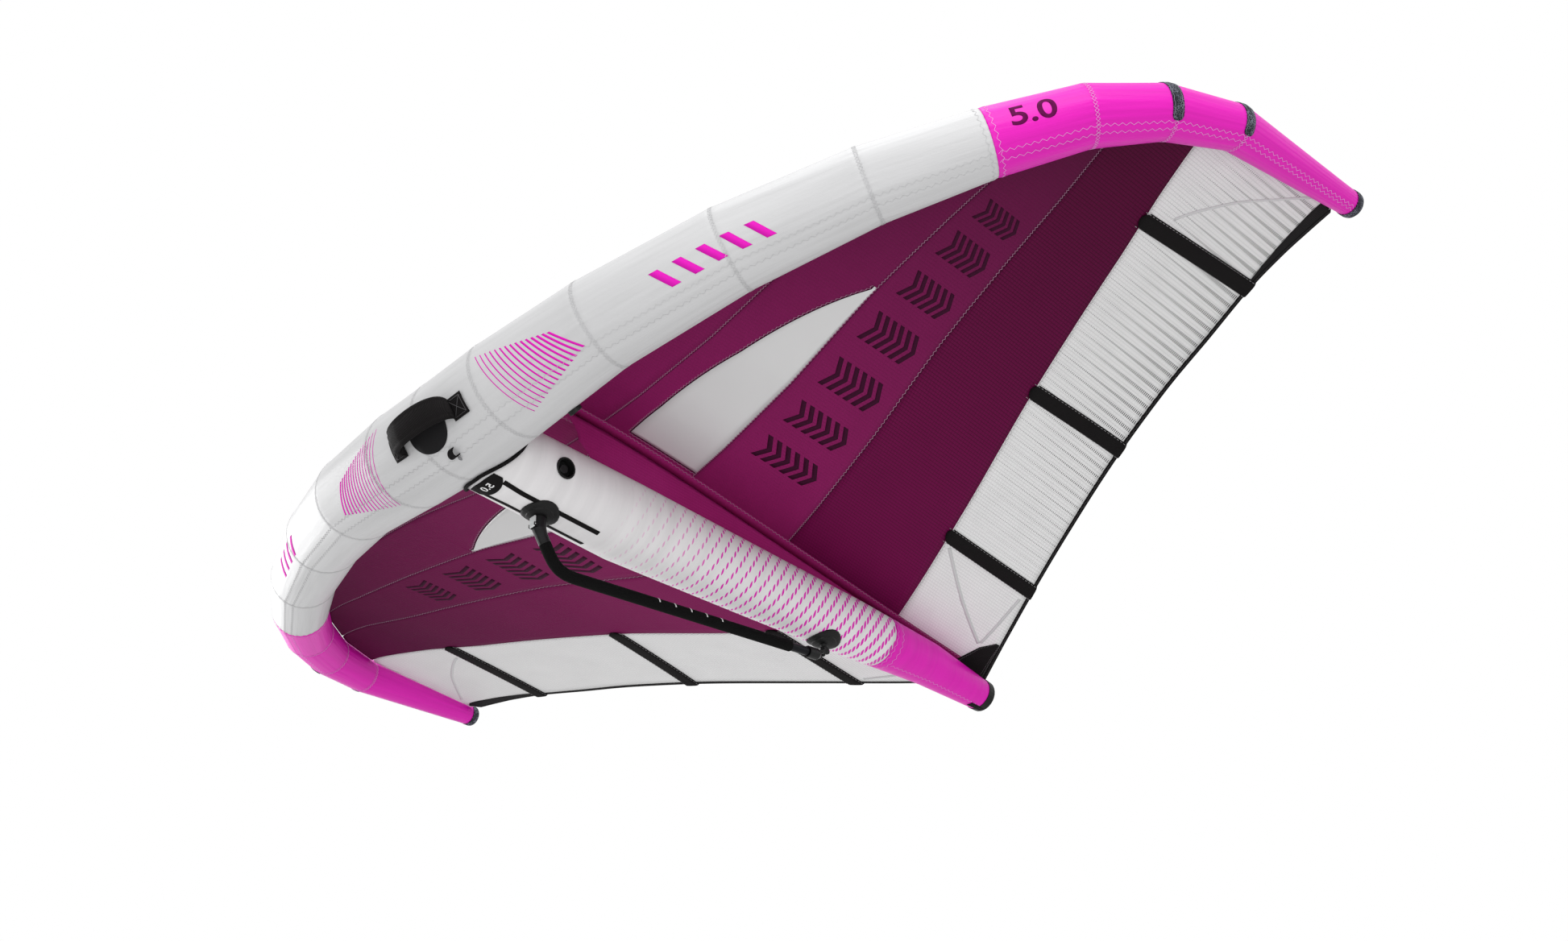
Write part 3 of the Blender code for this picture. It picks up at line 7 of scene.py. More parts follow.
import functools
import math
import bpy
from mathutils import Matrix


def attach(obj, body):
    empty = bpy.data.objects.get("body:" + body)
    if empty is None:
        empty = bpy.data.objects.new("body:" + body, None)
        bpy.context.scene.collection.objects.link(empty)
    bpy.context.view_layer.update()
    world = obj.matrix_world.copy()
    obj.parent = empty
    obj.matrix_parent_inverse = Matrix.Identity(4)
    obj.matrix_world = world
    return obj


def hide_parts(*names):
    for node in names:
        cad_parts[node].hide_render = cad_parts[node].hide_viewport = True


bl_info = {
    "name": "Inflatable hand wing",
    "version": (1, 0, 0),
    "blender": (4, 5, 0),
    "location": "View3D > Sidebar > Wing",
    "description": "Dresses the solids of an inflatable hand wing with cloth, seams and fittings",
    "category": "Object",
}

import bmesh
import bpy
import numpy as np
from mathutils import Matrix, Vector

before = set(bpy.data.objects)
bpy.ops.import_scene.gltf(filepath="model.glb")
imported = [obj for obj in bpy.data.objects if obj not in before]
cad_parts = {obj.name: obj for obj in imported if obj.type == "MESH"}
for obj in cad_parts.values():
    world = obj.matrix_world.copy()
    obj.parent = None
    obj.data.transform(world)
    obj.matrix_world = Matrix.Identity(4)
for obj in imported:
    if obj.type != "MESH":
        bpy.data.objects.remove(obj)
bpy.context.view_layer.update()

# Sizes repeated from the part, in metres, degrees, stations along the tube and shares of a longer size
GAP = 0.0003
OVERLAY_GAP = 0.0007
CANOPY_THICK = 0.0009
SLEEVE_WALL = 0.0012
HALF_SPAN = 1.62
LE_SWEEP = 1.266
TIP_RISE = 0.4
LE_RADIUS = 0.124
LE_X_SHARES = (0, 0.108, 0.2728, 0.4586, 0.637, 0.7747, 0.8765, 0.9414, 0.9821, 1)
LE_Y_SHARES = (0, 0.0063, 0.0363, 0.1177, 0.2164, 0.3207, 0.4281, 0.5371, 0.6714, 1)
LE_Z_SHARES = (0, 0.045, 0.165, 0.37, 0.535, 0.665, 0.7975, 0.8725, 0.9325, 1)
LE_R_SHARES = (1, 0.976, 0.875, 0.794, 0.7016, 0.617, 0.558, 0.496, 0.4218, 0.245)
TIP_STATION = 9
COLOUR_STATION = 5
CHORD = 1.85
STRUT_RADIUS = 0.1
STRUT_Y_SHARES = (0.055, 0.27, 0.486, 0.703, 0.865, 0.9912)
STRUT_Z_SHARES = (-0.15, -0.2, -0.08, 0.06, 0.15, 0)
STRUT_R_SHARES = (0.95, 1, 0.88, 0.76, 0.6, 0.42)
STRUT_SPLIT_SHARE = 0.757
TE_X_SHARES = (0, 0.117, 0.278, 0.457, 0.605, 0.716, 0.809, 0.8765, 0.926, 0.97)
TE_Y_SHARES = (1, 0.8195, 0.6008, 0.3905, 0.2461, 0.1606, 0.0877, 0.0528, 0.036, 0.0243)
TE_Z_SHARES = (0.1375, 0.225, 0.38, 0.5675, 0.715, 0.8175, 0.9025, 0.96, 0.9975, 1.03)
CAMBER = 0.1132
CAMBER_SHARES = (1, 0.9, 0.79, 0.7, 0.5, 0.32, 0.2, 0.11, 0.05, 0.01)
CAMBER_LEAD_SHARE = 0.09
CAMBER_MIDDLE_SHARE = 1.27
CAMBER_OUTER_SHARE = 0.85
CAMBER_OUTER_STATION = 3
ATTACH_MIDDLE_DEG = 70
ATTACH_TIP_DEG = 20
SEAM_SHARES = (0.2216, 0.382, 0.568, 0.797)
SEAM_STATIONS = (4.53, 5.75, 6.75, 7.85)
END_STATION = 0.03
PANEL_NAMES = ("front", "window", "middle", "rear", "trailing")
TAPE_WIDTH = 0.012
WINDOW_FIRST_STATION = 0.27
WINDOW_LAST_STATION = 3.12
WINDOW_DEPTH = 0.217
WINDOW_CURVE_SHARE = 2.8
WINDOW_END_SHARE = 0.04
CORNER_LAST_STATION = 8.93
CORNER_EDGE_LENGTH = 0.003
CORNER_FRONT_SHARE = 0.2
POCKET_SHARES = (0.1957, 0.4315, 0.7444)
POCKET_FAN_SHARES = (0.006, 0.066, 0.08)
POCKET_NAMES = ("inner", "middle", "outer")
POCKET_LAP = 0.012
WEB_FOOT_SHARE = 0.222
WEB_HEAD_SHARE = 0.165
WEB_END_SHARE = 0.91
CAP_LENGTH = 0.028
CAP_WALL = 0.0018
PATCH_STATIONS = (7, 8)
PATCH_WIDTH = 0.026
HANDLE_X = 0.03
HANDLE_DEG = 215
HANDLE_LENGTH = 0.15
HANDLE_TAB = 0.036
HANDLE_THICK = 0.003
HANDLE_HEIGHT = 0.042
HANDLE_CURVE_SHARE = 0.6
PAD_LENGTH = 0.1
PAD_WIDTH = 0.108
LEASH_X = 0.045
LEASH_DEG = 250
LEASH_WIDTH = 0.014
LEASH_HEIGHT = 0.017
LEASH_REACH = 0.01

# The middle of the boom's grip, which the part takes as its origin
ORIGIN = np.array((0, 0.69314, -0.19455))

# Sizes of the cloth and trim, which lie on the solids or a little off them
CLEW_STATION = 0.72
CLEW_MARKS = (0, 0.06, 0.51, CLEW_STATION)
CLEW_REACHES = (0.13, 0.117, 0.06, 0.014)
CORNER_TAPER_STATION = 5.95
CORNER_WIDE = 0.036
POCKET_WIDTH = 0.045
POCKET_RISE = 0.0052
ROD_WIDTH = 0.016
ROD_SETBACK = 0.008
PATCH_DEGREES = (105, 240)
HANDLE_WIDTH = 0.046
HANDLE_PAD_THICK = 0.014
HANDLE_LEAN = 0.014
BEAD_RADIUS = 0.0042
BEAD_STAND = 0.0047
STRAP_ENDS = (0.118, 0.402)
STRAP_X = 0.029
STRAP_WIDTH = 0.011
STRUT_PATCH_DEG = 25.7
STRUT_PATCH_LENGTH = 0.05
PATCH_WALL = 0.0012
PATCH_DROP = CANOPY_THICK / 2 + OVERLAY_GAP + 0.0006
CAP_HEIGHT_SHARES = (0, 0.0002, 0.5, 0.72, 0.88, 0.97, 1, 1)
CAP_RADIUS_SHARES = (0.94, 1, 1, 0.96, 0.85, 0.66, 0.45, 0)
BAG_GAP = 0.004
LE_BAG_END = 8.98
STRUT_BAG_ENDS = (0.15, 1.83)
PANEL_ROWS = 14
WINDOW_ROW = 8
FILM_WALL = CANOPY_THICK * 0.8
WINDOW_SEAM_OFF = 0.006
WINDOW_SIDE_SEAM = 0.21
METRES_PER_INNER_STATION = 0.18
NEAR_MIDDLE = 0.0001
# Lines and width of the painted shadows of tapes, seen through the white cloth
TAPE_SHADOW_LINES = (((1.45, 0.317), (0.55, 0.083)), ((1.4, 0.03), (0.58, 0.076)), ((5.91, 0.323), (8.72, 0.082)))
TAPE_SHADOW_WIDTH = 0.01
WEB_HEAD_WIDTH = 0.03
THREAD_LIFT = 0.0005
SEAM_INSET = 0.004
TUBE_SEAM_DEGREES = (242, 257)
COLOUR_SEAM_OFF = 0.012
TAIL_SEAM_DEG = 262
CANOPY_FACE = CANOPY_THICK / 2 + 0.0003
PRINT_LIFT = 0.0003
PRINT_WALL = 0.0001
ROW_BEND = 2.2
STROKE_LEAN = 1.4
STROKE_PITCH = 0.0165
STROKE_HALF_LENGTHS = (0.003, 0.0078)
STROKE_HALF_WIDTHS = (0.0036, 0.0064)
DASH_ROW_PITCH = 0.025
DASH_PITCH = 0.006
SIZE_NUMERAL = "5.0"
TUBE_NUMERAL_SIZE = 0.082
TUBE_NUMERAL_OFF = 0.095
TUBE_NUMERAL_DEG = 192
STRUT_NUMERAL_SIZE = 0.027
MARK_FIRST_Y = 0.609
MARK_PITCH = 0.0515
THREAD_COLOURS = {
    "pale grey": "#d2d2d3",
    "lilac": "#efb4ea",
    "rose grey": "#b58ea6",
    "grey": "#a8a6a8",
    "dark grey": "#5c5a5c",
    "mid grey": "#858385",
    "light grey": "#a2a0a2",
    "silver grey": "#a9abb8",
}
UP = np.array((0.0, 0.0, 1.0))
RIGHT = np.array((1.0, 0.0, 0.0))


def tone(hex_colour):
    """A hex colour in linear light."""
    channels = [int(hex_colour[i : i + 2], 16) / 255 for i in (1, 3, 5)]
    return tuple(c / 12.92 if c <= 0.04045 else ((c + 0.055) / 1.055) ** 2.4 for c in channels)


def colour(name, description, default):
    return bpy.props.FloatVectorProperty(
        name=name, description=description, subtype="COLOR", size=3, min=0, max=1, default=tone(default)
    )


def length(name, description, default):
    return bpy.props.FloatProperty(
        name=name, description=description, unit="LENGTH", subtype="DISTANCE", default=default, min=0.0001
    )


class WingColours(bpy.types.PropertyGroup):
    tube_grey: colour("Tube grey", "Cloth of the tube's middle", "#cfcfd0")
    tube_magenta: colour("Tube magenta", "Cloth of the tube's tips and the strut's rear", "#e612ba")
    strut_white: colour("Strut white", "Cloth of the strut's front", "#eae8e9")
    # Each canopy pair goes from the cloth's colour beside the strut to a darker one near the tips, which is
    # painted shade
    canopy_light: colour("Canopy light", "Front panels beside the strut", "#952065")
    canopy_magenta_shaded_tip: colour("Canopy dark", "Front panels near the tips", "#5c143e")
    canopy_deep: colour("Canopy deep", "Rear panels beside the strut", "#78104e")
    canopy_deep_shaded_tip: colour("Canopy deep tip", "Rear panels near the tips", "#560c36")
    canopy_white: colour("Canopy white", "Trailing panels near the strut", "#f8f8f8")
    canopy_white_shaded_tip: colour("Canopy white tip", "Trailing panels near the tips", "#ececec")
    film: colour("Film", "Windows", "#dcdcdc")
    black: colour("Black cloth", "Pockets, tape, patches and webbing", "#0e0d0d")
    print_magenta: colour("Print", "Printed bands on the tube", "#e01fb8")


class WingSizes(bpy.types.PropertyGroup):
    stitch_pitch: length("Canopy stitch pitch", "Length of one zigzag in the canopy", 0.013)
    stitch_swing: length("Canopy stitch swing", "Reach of a canopy zigzag to each side", 0.0022)
    tube_pitch: length("Tube stitch pitch", "Length of one zigzag in the tube", 0.0175)
    tube_swing: length("Tube stitch swing", "Reach of a tube zigzag to each side", 0.003)
    stitch_width: length("Thread width", "Width of a seam's thread as it shows", 0.0013)
    ripstop_pitch: length("Ripstop pitch", "Distance of the canopy cloth's thick threads", 0.009)
    halftone_pitch: length("Halftone pitch", "Distance of the strut's printed rings", 0.033)
    pucker: length("Pucker", "Depth of the folds beside a tube's joints", 0.0006)


# The shape of the wing


def unit(vector):
    return vector / np.linalg.norm(vector)


def mirrored(points):
    return np.asarray(points) * np.array((-1.0, 1.0, 1.0))


def frames_along(points, up):
    """The side and top vectors of each mitre plane."""
    steps = [unit(b - a) for a, b in zip(points[:-1], points[1:])]
    made = []
    for first, second in zip([steps[0], *steps], [*steps, steps[-1]]):
        along = unit(first + second)
        side = unit(np.cross(up, along))
        top = np.cross(along, side)
        bend = np.cross(first, second)
        if np.linalg.norm(bend) > 1e-6:
            across = unit(np.cross(along, bend))
            stretch = 1 / np.dot(first, along) - 1
            side = side + across * np.dot(side, across) * stretch
            top = top + across * np.dot(top, across) * stretch
        made.append((side, top))
    return made


LE_HALF = np.transpose((LE_X_SHARES, LE_Y_SHARES, LE_Z_SHARES)) * (HALF_SPAN, LE_SWEEP, TIP_RISE)
LE_POINTS = np.vstack([mirrored(LE_HALF[:0:-1]), LE_HALF])
LE_RADII = np.multiply(LE_RADIUS, (*LE_R_SHARES[:0:-1], *LE_R_SHARES))
LE_STATIONS = np.arange(-TIP_STATION, TIP_STATION + 1)
LE_STEPS = np.linalg.norm(np.diff(LE_POINTS, axis=0), axis=1)
LE_RUN = np.concatenate([[0], np.cumsum(LE_STEPS)])
LE_FRAMES = frames_along(LE_POINTS, UP)
TE_HALF = np.transpose((TE_X_SHARES, TE_Y_SHARES, TE_Z_SHARES)) * (HALF_SPAN, CHORD - LE_SWEEP, TIP_RISE)
TE_HALF[:, 1] += LE_SWEEP
STRUT_Y = np.multiply(STRUT_Y_SHARES, CHORD)
STRUT_Z = np.multiply(STRUT_Z_SHARES, STRUT_RADIUS)
STRUT_R = np.multiply(STRUT_R_SHARES, STRUT_RADIUS)
STRUT_SPLIT_Y = CHORD * STRUT_SPLIT_SHARE
BASE_Y = CHORD * 0.13514
REAR_Y = CHORD * 0.64324
STRUT_VALVE_Y = CHORD * 0.13243
STRUT_VALVE_DEG = 192
BOOM_RADIUS = 0.0115
GRIP_WALL = 0.0026
BOOM_DEPTH = 0.1166
# The bends of the part's boom path, which leaves out the first
BOOM_RUN_SHARES = (0.0191, 0.0351, 0.0489, 0.066, 0.0872, 0.1128)
BOOM_DROP_SHARES = (0.524, 0.7256, 0.867, 0.9614, 1, 0.9914)
BOOM_END_SETBACK = 0.05
BOOM_END_DROP = 0.0406
GRIP_END_SHARE = 0.9
BASE_HEIGHT = 0.0125


def le_surface(station, degrees, stand):
    """A point off the leading edge tube's skin."""
    angle = math.radians(degrees)
    low = max(min(math.floor(station), TIP_STATION - 1), -TIP_STATION)
    ends = []
    for index in (low + TIP_STATION, low + 1 + TIP_STATION):
        side, top = LE_FRAMES[index]
        away = math.cos(angle) * side + math.sin(angle) * top
        ends.append(LE_POINTS[index] + (LE_RADII[index] + stand) * away)
    return ends[0] + (ends[1] - ends[0]) * (station - low)


def le_clearance(point):
    least = HALF_SPAN
    for a, b, ra, rb in zip(LE_POINTS[:-1], LE_POINTS[1:], LE_RADII[:-1], LE_RADII[1:]):
        share = np.clip(np.dot(point - a, b - a) / np.dot(b - a, b - a), 0, 1)
        least = min(least, np.linalg.norm(point - a - share * (b - a)) - ra - share * (rb - ra))
    return least


def against_le(point, stand):
    """Moves a point along the strut until it stands off the leading edge by a distance."""
    moved = np.array(point, float)
    low, high = 0.0, 2 * LE_RADIUS
    for _ in range(26):
        moved[1] = (low + high) / 2
        if le_clearance(moved) < stand:
            low = moved[1]
        else:
            high = moved[1]
    return moved


def station_at(run):
    return float(np.interp(run, LE_RUN, LE_STATIONS))


def run_at(station):
    return float(np.interp(station, LE_STATIONS, LE_RUN))


def le_radius(station):
    return float(np.interp(station, LE_STATIONS, LE_RADII))


def smooth(table, station):
    """A smooth curve through a table's rows."""
    table = np.asarray(table, float)
    slopes = np.gradient(table, axis=0)
    low = int(min(math.floor(station), len(table) - 2))
    t = station - low
    first, second = table[low], table[low + 1]
    return (
        first * (1 + 2 * t) * (1 - t) ** 2
        + slopes[low] * t * (1 - t) ** 2
        + second * t * t * (3 - 2 * t)
        + slopes[low + 1] * t * t * (t - 1)
    )


@functools.lru_cache(maxsize=None)
def rib(station):
    """Both ends of a rib and the height of its camber."""
    low = int(min(math.floor(station), TIP_STATION - 1))
    ends = []
    for index in (low, low + 1):
        degrees = np.interp(index, (0, TIP_STATION), (ATTACH_MIDDLE_DEG, ATTACH_TIP_DEG))
        ends.append(le_surface(index, degrees, GAP + CANOPY_THICK))
    front = ends[0] + (ends[1] - ends[0]) * (station - low)
    return front, smooth(TE_HALF, station), CAMBER * float(smooth(CAMBER_SHARES, station))


@functools.lru_cache(maxsize=None)
def camber(station, level):
    power = np.interp(station, (0, CAMBER_OUTER_STATION), (CAMBER_MIDDLE_SHARE, CAMBER_OUTER_SHARE))
    start = CAMBER_LEAD_SHARE * (power + 1)
    peak = (math.sqrt(start**2 + 4 * power * CAMBER_LEAD_SHARE) - start) / (2 * power)
    heights = [u / (u + CAMBER_LEAD_SHARE) * (1 - u) ** power for u in (level, peak)]
    return heights[0] / heights[1]


def canopy_point(station, level, drop=0.0):
    """A point of the canopy, a drop below its middle surface; the other side has negative stations."""
    front, rear, height = rib(abs(station))
    level = min(max(level, 0.0), 1.0)
    point = front + (rear - front) * level + UP * (height * camber(abs(station), level) - drop)
    return mirrored(point) if station < 0 else point


@functools.lru_cache(maxsize=None)
def rib_length(station):
    front, rear, _ = rib(station)
    return float(np.linalg.norm(rear - front))


@functools.lru_cache(maxsize=None)
def seam_level(index, station):
    """Where a seam crosses a rib: 0 beyond the seam's end, 1 for the trailing edge."""
    if index == len(SEAM_STATIONS):
        return 1 - TAPE_WIDTH / rib_length(station)
    if index < 0 or station >= SEAM_STATIONS[index]:
        return 0.0
    front, rear, _ = rib(station)
    middle = np.array((0.0, SEAM_SHARES[index] * CHORD))
    end = rib(SEAM_STATIONS[index])[0][:2]
    along, across = rear[:2] - front[:2], end - middle
    cross = along[0] * across[1] - along[1] * across[0]
    away = middle - front[:2]
    return max(0.0, float((away[0] * across[1] - away[1] * across[0]) / cross))


def window_edge(station):
    """The level of the window's front edge."""
    share = (station - WINDOW_FIRST_STATION) / (WINDOW_LAST_STATION - WINDOW_FIRST_STATION)
    share = min(max(share, 0.0), 1.0)
    depth = WINDOW_DEPTH * max(1 - share**WINDOW_CURVE_SHARE, WINDOW_END_SHARE)
    return seam_level(1, station) - depth / rib_length(station)


def strut_at(y):
    return np.array((0.0, y, np.interp(y, STRUT_Y, STRUT_Z))), float(np.interp(y, STRUT_Y, STRUT_R))


def strut_surface(y, degrees, stand):
    """A point off the strut's skin: 270 degrees is its underside, 180 the right."""
    centre, radius = strut_at(y)
    angle = math.radians(degrees)
    return centre + (radius + stand) * np.array((-math.cos(angle), 0.0, math.sin(angle)))


def strut_under(y):
    centre, radius = strut_at(y)
    return centre[2] - radius


PATCH_MIDDLE_Y = against_le(strut_surface(STRUT_Y[0], 270, 0.0012), 0.0095)[1] + 0.024
FRONT_FACE = strut_under(BASE_Y) - OVERLAY_GAP - BASE_HEIGHT
REAR_FACE = strut_under(REAR_Y) - OVERLAY_GAP - BASE_HEIGHT
BOOM_PATH = [
    np.array((0.0, BASE_Y + (REAR_Y - BASE_Y) * run, FRONT_FACE - BOOM_DEPTH * drop))
    for run, drop in zip(BOOM_RUN_SHARES, BOOM_DROP_SHARES)
]
BOOM_PATH.append(np.array((0.0, REAR_Y - BOOM_END_SETBACK, REAR_FACE - BOOM_END_DROP)))


def bent_round(path, step_size=0.012, passes=2):
    """A path with its corners cut round, none of them over more than a step."""
    path = [*path[:-1], path[-2] + unit(path[-1] - path[-2]) * step_size, path[-1]]
    for _ in range(passes):
        cut = [path[0]]
        for a, b in zip(path[:-1], path[1:]):
            share = min(0.25, step_size / 4 / np.linalg.norm(b - a))
            cut += [a + (b - a) * share, b + (a - b) * share]
        path = [*cut, path[-1]]
    return np.array(path)


# Meshes


def grid_onto(bm, columns, rows, place, measure=None):
    """Adds a grid bent to a surface: place and measure take shares along and across it."""
    made = bmesh.ops.create_grid(bm, x_segments=columns, y_segments=rows, size=0.5)["verts"]
    layer = bm.loops.layers.uv.get("UVMap") or bm.loops.layers.uv.new("UVMap")
    shares = {vert: (vert.co.x + 0.5, vert.co.y + 0.5) for vert in made}
    for face in {face for vert in made for face in vert.link_faces}:
        for loop in face.loops:
            loop[layer].uv = measure(*shares[loop.vert]) if measure else shares[loop.vert]
    for vert, share in shares.items():
        vert.co = Vector(place(*share) - ORIGIN)
    return made


def piece(name, bm, finish, slot, body="wing", stands_for=(), wall=0.0, side=0.0, round_shape=False):
    """An object from a mesh, with its finish, its body and the solids it stands for."""
    if round_shape:
        bmesh.ops.remove_doubles(bm, verts=bm.verts, dist=0.00001)
        bmesh.ops.recalc_face_normals(bm, faces=bm.faces)
    mesh = bpy.data.meshes.new(name)
    bm.to_mesh(mesh)
    bm.free()
    mesh.materials.append(finish)
    mesh.shade_smooth()
    mesh.set_sharp_from_angle(angle=math.radians(50))
    made = bpy.data.objects.new(name, mesh)
    bpy.context.scene.collection.objects.link(made)
    if wall:
        thick = made.modifiers.new("Thickness", "SOLIDIFY")
        thick.thickness = wall
        thick.offset = side
    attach(made, body)
    if stands_for:
        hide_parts(*stands_for)
    return made


def zigzag(bm, run, surface, phase=1, width=None, tube=False):
    """Adds a line of zigzag stitching; surface gives a point for a share along it and metres off it."""
    sizes = bpy.context.scene.wing_sizes
    pitch, swing = (sizes.tube_pitch, sizes.tube_swing) if tube else (sizes.stitch_pitch, sizes.stitch_swing)
    columns = 2 * max(2, round(run / pitch))
    width = width or sizes.stitch_width * (0.7 if tube else 1)

    def place(along, across):
        turn = phase * (-1) ** round(along * columns)
        return surface(along, turn * swing + (across - 0.5) * width)

    grid_onto(bm, columns, 1, place)


def band(bm, columns, surface, low, high):
    """Adds a plain strip between two distances off a line."""
    grid_onto(bm, columns, 1, lambda along, across: surface(along, low + (high - low) * across))


# Finishes


def feed(tree, node, inputs):
    """Sets a node's inputs, or links them where a node or an output is given."""
    for key, value in inputs.items():
        socket = node.inputs[key]
        if isinstance(value, bpy.types.Node):
            value = value.outputs[0]
        if isinstance(value, bpy.types.NodeSocket):
            tree.links.new(value, socket)
        elif isinstance(value, tuple) and len(value) < len(socket.default_value):
            socket.default_value = (*value, 1)
        else:
            socket.default_value = value


def add(tree, kind, inputs=(), **settings):
    """Adds a node with its settings, values and links; a plain row of values fills the inputs in order."""
    made = tree.nodes.new("ShaderNode" + kind)
    for name, value in settings.items():
        setattr(made, name, value)
    feed(tree, made, inputs if isinstance(inputs, dict) else dict(enumerate(inputs)))
    return made


def start(name, settings):
    """A material whose shader has these settings."""
    made = bpy.data.materials.new(name)
    made.use_nodes = True
    shader = made.node_tree.nodes["Principled BSDF"]
    feed(made.node_tree, shader, settings)
    return made, made.node_tree, shader


def places(tree, source):
    """Object coordinates or the piece's own UV map, and their parts."""
    if source == "uv":
        whole = add(tree, "UVMap", uv_map="UVMap").outputs[0]
    else:
        whole = add(tree, "TexCoord").outputs["Object"]
    return whole, add(tree, "SeparateXYZ", (whole,)).outputs


def thick_threads(tree, coordinate, pitch, width):
    """1 on the thick threads of a weave, which repeat at a pitch, and 0 between them."""
    away = add(tree, "Math", (coordinate, pitch / 2), operation="PINGPONG")
    return add(tree, "MapRange", (away, width * 0.3, width * 0.7, 1.0, 0.0))


def shaded(colour_of, share):
    return tuple(c * share for c in colour_of)


def once(make):
    """Makes a finish the first time it is asked for."""
    return functools.lru_cache(maxsize=None)(make)


def printed_strokes(tree, around, along, face):
    """Rows of slanted strokes round the strut, printed from nothing at its front to bold at its rear."""
    pitch = bpy.context.scene.wing_sizes.halftone_pitch
    growth = add(tree, "MapRange", (along, 0.45, 1.38))
    square = add(tree, "Math", (around, around), operation="MULTIPLY")
    bent = add(tree, "Math", (square, -ROW_BEND, along), operation="MULTIPLY_ADD")
    off_row = add(tree, "Math", (bent, pitch / 2, -pitch / 2), operation="WRAP")
    lean = add(tree, "Math", (off_row, -STROKE_LEAN, around), operation="MULTIPLY_ADD")
    off_stroke = add(tree, "Math", (lean, STROKE_PITCH / 2), operation="PINGPONG")
    off_row = add(tree, "Math", (off_row,), operation="ABSOLUTE")
    reaches = []
    for off, thin, bold in ((off_row, *STROKE_HALF_LENGTHS), (off_stroke, *STROKE_HALF_WIDTHS)):
        edge = add(tree, "MapRange", (growth, 0.0, 1.0, thin, bold))
        share = add(tree, "Math", (off, edge), operation="DIVIDE")
        reaches.append(add(tree, "Math", (share, 3.0), operation="POWER"))
    total = add(tree, "Math", reaches, operation="ADD")
    inside = add(tree, "Math", (total, 1.0), operation="LESS_THAN")
    begun = add(tree, "MapRange", (along, 0.42, 0.75))
    mask = add(tree, "Math", (inside, begun), operation="MULTIPLY")
    magenta = tuple(hues().print_magenta)
    return add(tree, "Mix", {0: mask, 6: face, 7: magenta}, data_type="RGBA").outputs[2]


def printed_dashes(tree, from_middle, before_edge, face):
    """Rows of short dashes on the white panels, bolder to the trailing edge and to the tip."""
    near_edge = add(tree, "MapRange", (before_edge, 0.0, 0.4, 1.0, 0.0))
    near_tip = add(tree, "MapRange", (from_middle, 0.25, 0.9))
    growth = add(tree, "Math", (near_edge, near_tip), operation="MULTIPLY")
    row_edge = add(tree, "Math", (growth, 0.0055), operation="MULTIPLY")
    off_row = add(tree, "Math", (from_middle, DASH_ROW_PITCH / 2), operation="PINGPONG")
    on_row = add(tree, "Math", (off_row, row_edge), operation="LESS_THAN")
    dash_edge = add(tree, "MapRange", (growth, 0.0, 1.0, 0.0004, 0.0013))
    off_dash = add(tree, "Math", (before_edge, DASH_PITCH / 2), operation="PINGPONG")
    on_dash = add(tree, "Math", (off_dash, dash_edge), operation="LESS_THAN")
    mask = add(tree, "Math", (on_row, on_dash), operation="MULTIPLY")
    return add(tree, "Mix", {0: mask, 6: face, 7: tone("#2c2a2c")}, data_type="RGBA").outputs[2]


@once
def sailcloth(name, base, printed):
    """Woven polyester sailcloth, pressed hard under heat: a dull satin with faint creases along the tube, painted
    darker in their hollows as shade.
    """
    made, tree, shader = start(name, {"Roughness": 0.42, "Specular IOR Level": 0.3})
    where, parts = places(tree, "uv")
    drawn_out = add(tree, "Mapping", {"Vector": where, "Scale": (3, 34, 1)})
    creases = add(tree, "TexNoise", {"Vector": drawn_out, "Scale": 1.0, "Detail": 5.0})
    # Painted shade: the colour darkens towards half where the crease noise is low, in the creases' hollows
    shade = add(tree, "MapRange", (creases, 0.3, 0.6, 0.16, 0.0))
    face = add(tree, "Mix", {0: shade, 6: base, 7: shaded(base, 0.5)}, data_type="RGBA").outputs[2]
    if printed:
        face = printed_strokes(tree, parts[0], parts[1], face)
    relief = add(tree, "Bump", {"Strength": 1.0, "Distance": 0.0025, "Height": creases})
    feed(tree, shader, {"Base Color": face, "Normal": relief})
    return made


@once
def ripstop(name, inner, outer, lines, dashed):
    """Ripstop nylon with a coated face: a soft satin crossed by thick threads, drawn coarse enough to show, with
    painted shade darkening it towards the tips.
    """
    made, tree, shader = start(name, {"Roughness": 0.6, "Specular IOR Level": 0.06})
    where, parts = places(tree, "uv")
    pitch = bpy.context.scene.wing_sizes.ripstop_pitch
    # Painted shade: the colour goes from inner beside the strut to the darker outer at the tips
    side = add(tree, "Math", (parts[0],), operation="ABSOLUTE")
    painted_tip_shade = add(tree, "MapRange", (side, 0.1, 1.35))
    face = add(tree, "Mix", {0: painted_tip_shade, 6: inner, 7: outer}, data_type="RGBA").outputs[2]
    # The weave's grain first, then broad clouds of uneven dye
    for scale, detail, low, high, strength, dark in ((420, 2, 0.35, 0.65, 0.2, 0.55), (9, 4, 0.3, 0.7, 0.08, 0.4)):
        cloud = add(tree, "TexNoise", {"Vector": where, "Scale": scale, "Detail": detail})
        share = add(tree, "MapRange", (cloud, low, high, strength, 0.0))
        face = add(tree, "Mix", {0: share, 6: face, 7: shaded(outer, dark)}, data_type="RGBA").outputs[2]
    warp = thick_threads(tree, parts[0], pitch, 0.0016)
    weft = thick_threads(tree, parts[1], pitch, 0.0014)
    weft = add(tree, "Math", (weft, 0.6), operation="MULTIPLY")
    grid = add(tree, "Math", (warp, weft), operation="MAXIMUM")
    shown = add(tree, "Math", (grid, lines), operation="MULTIPLY")
    face = add(tree, "Mix", {0: shown, 6: face, 7: shaded(outer, 0.25)}, data_type="RGBA").outputs[2]
    if dashed:
        face = printed_dashes(tree, parts[0], parts[1], face)
    relief = add(tree, "Bump", {"Strength": 1.0, "Distance": 0.0004, "Height": grid})
    feed(tree, shader, {"Base Color": face, "Normal": relief})
    return made


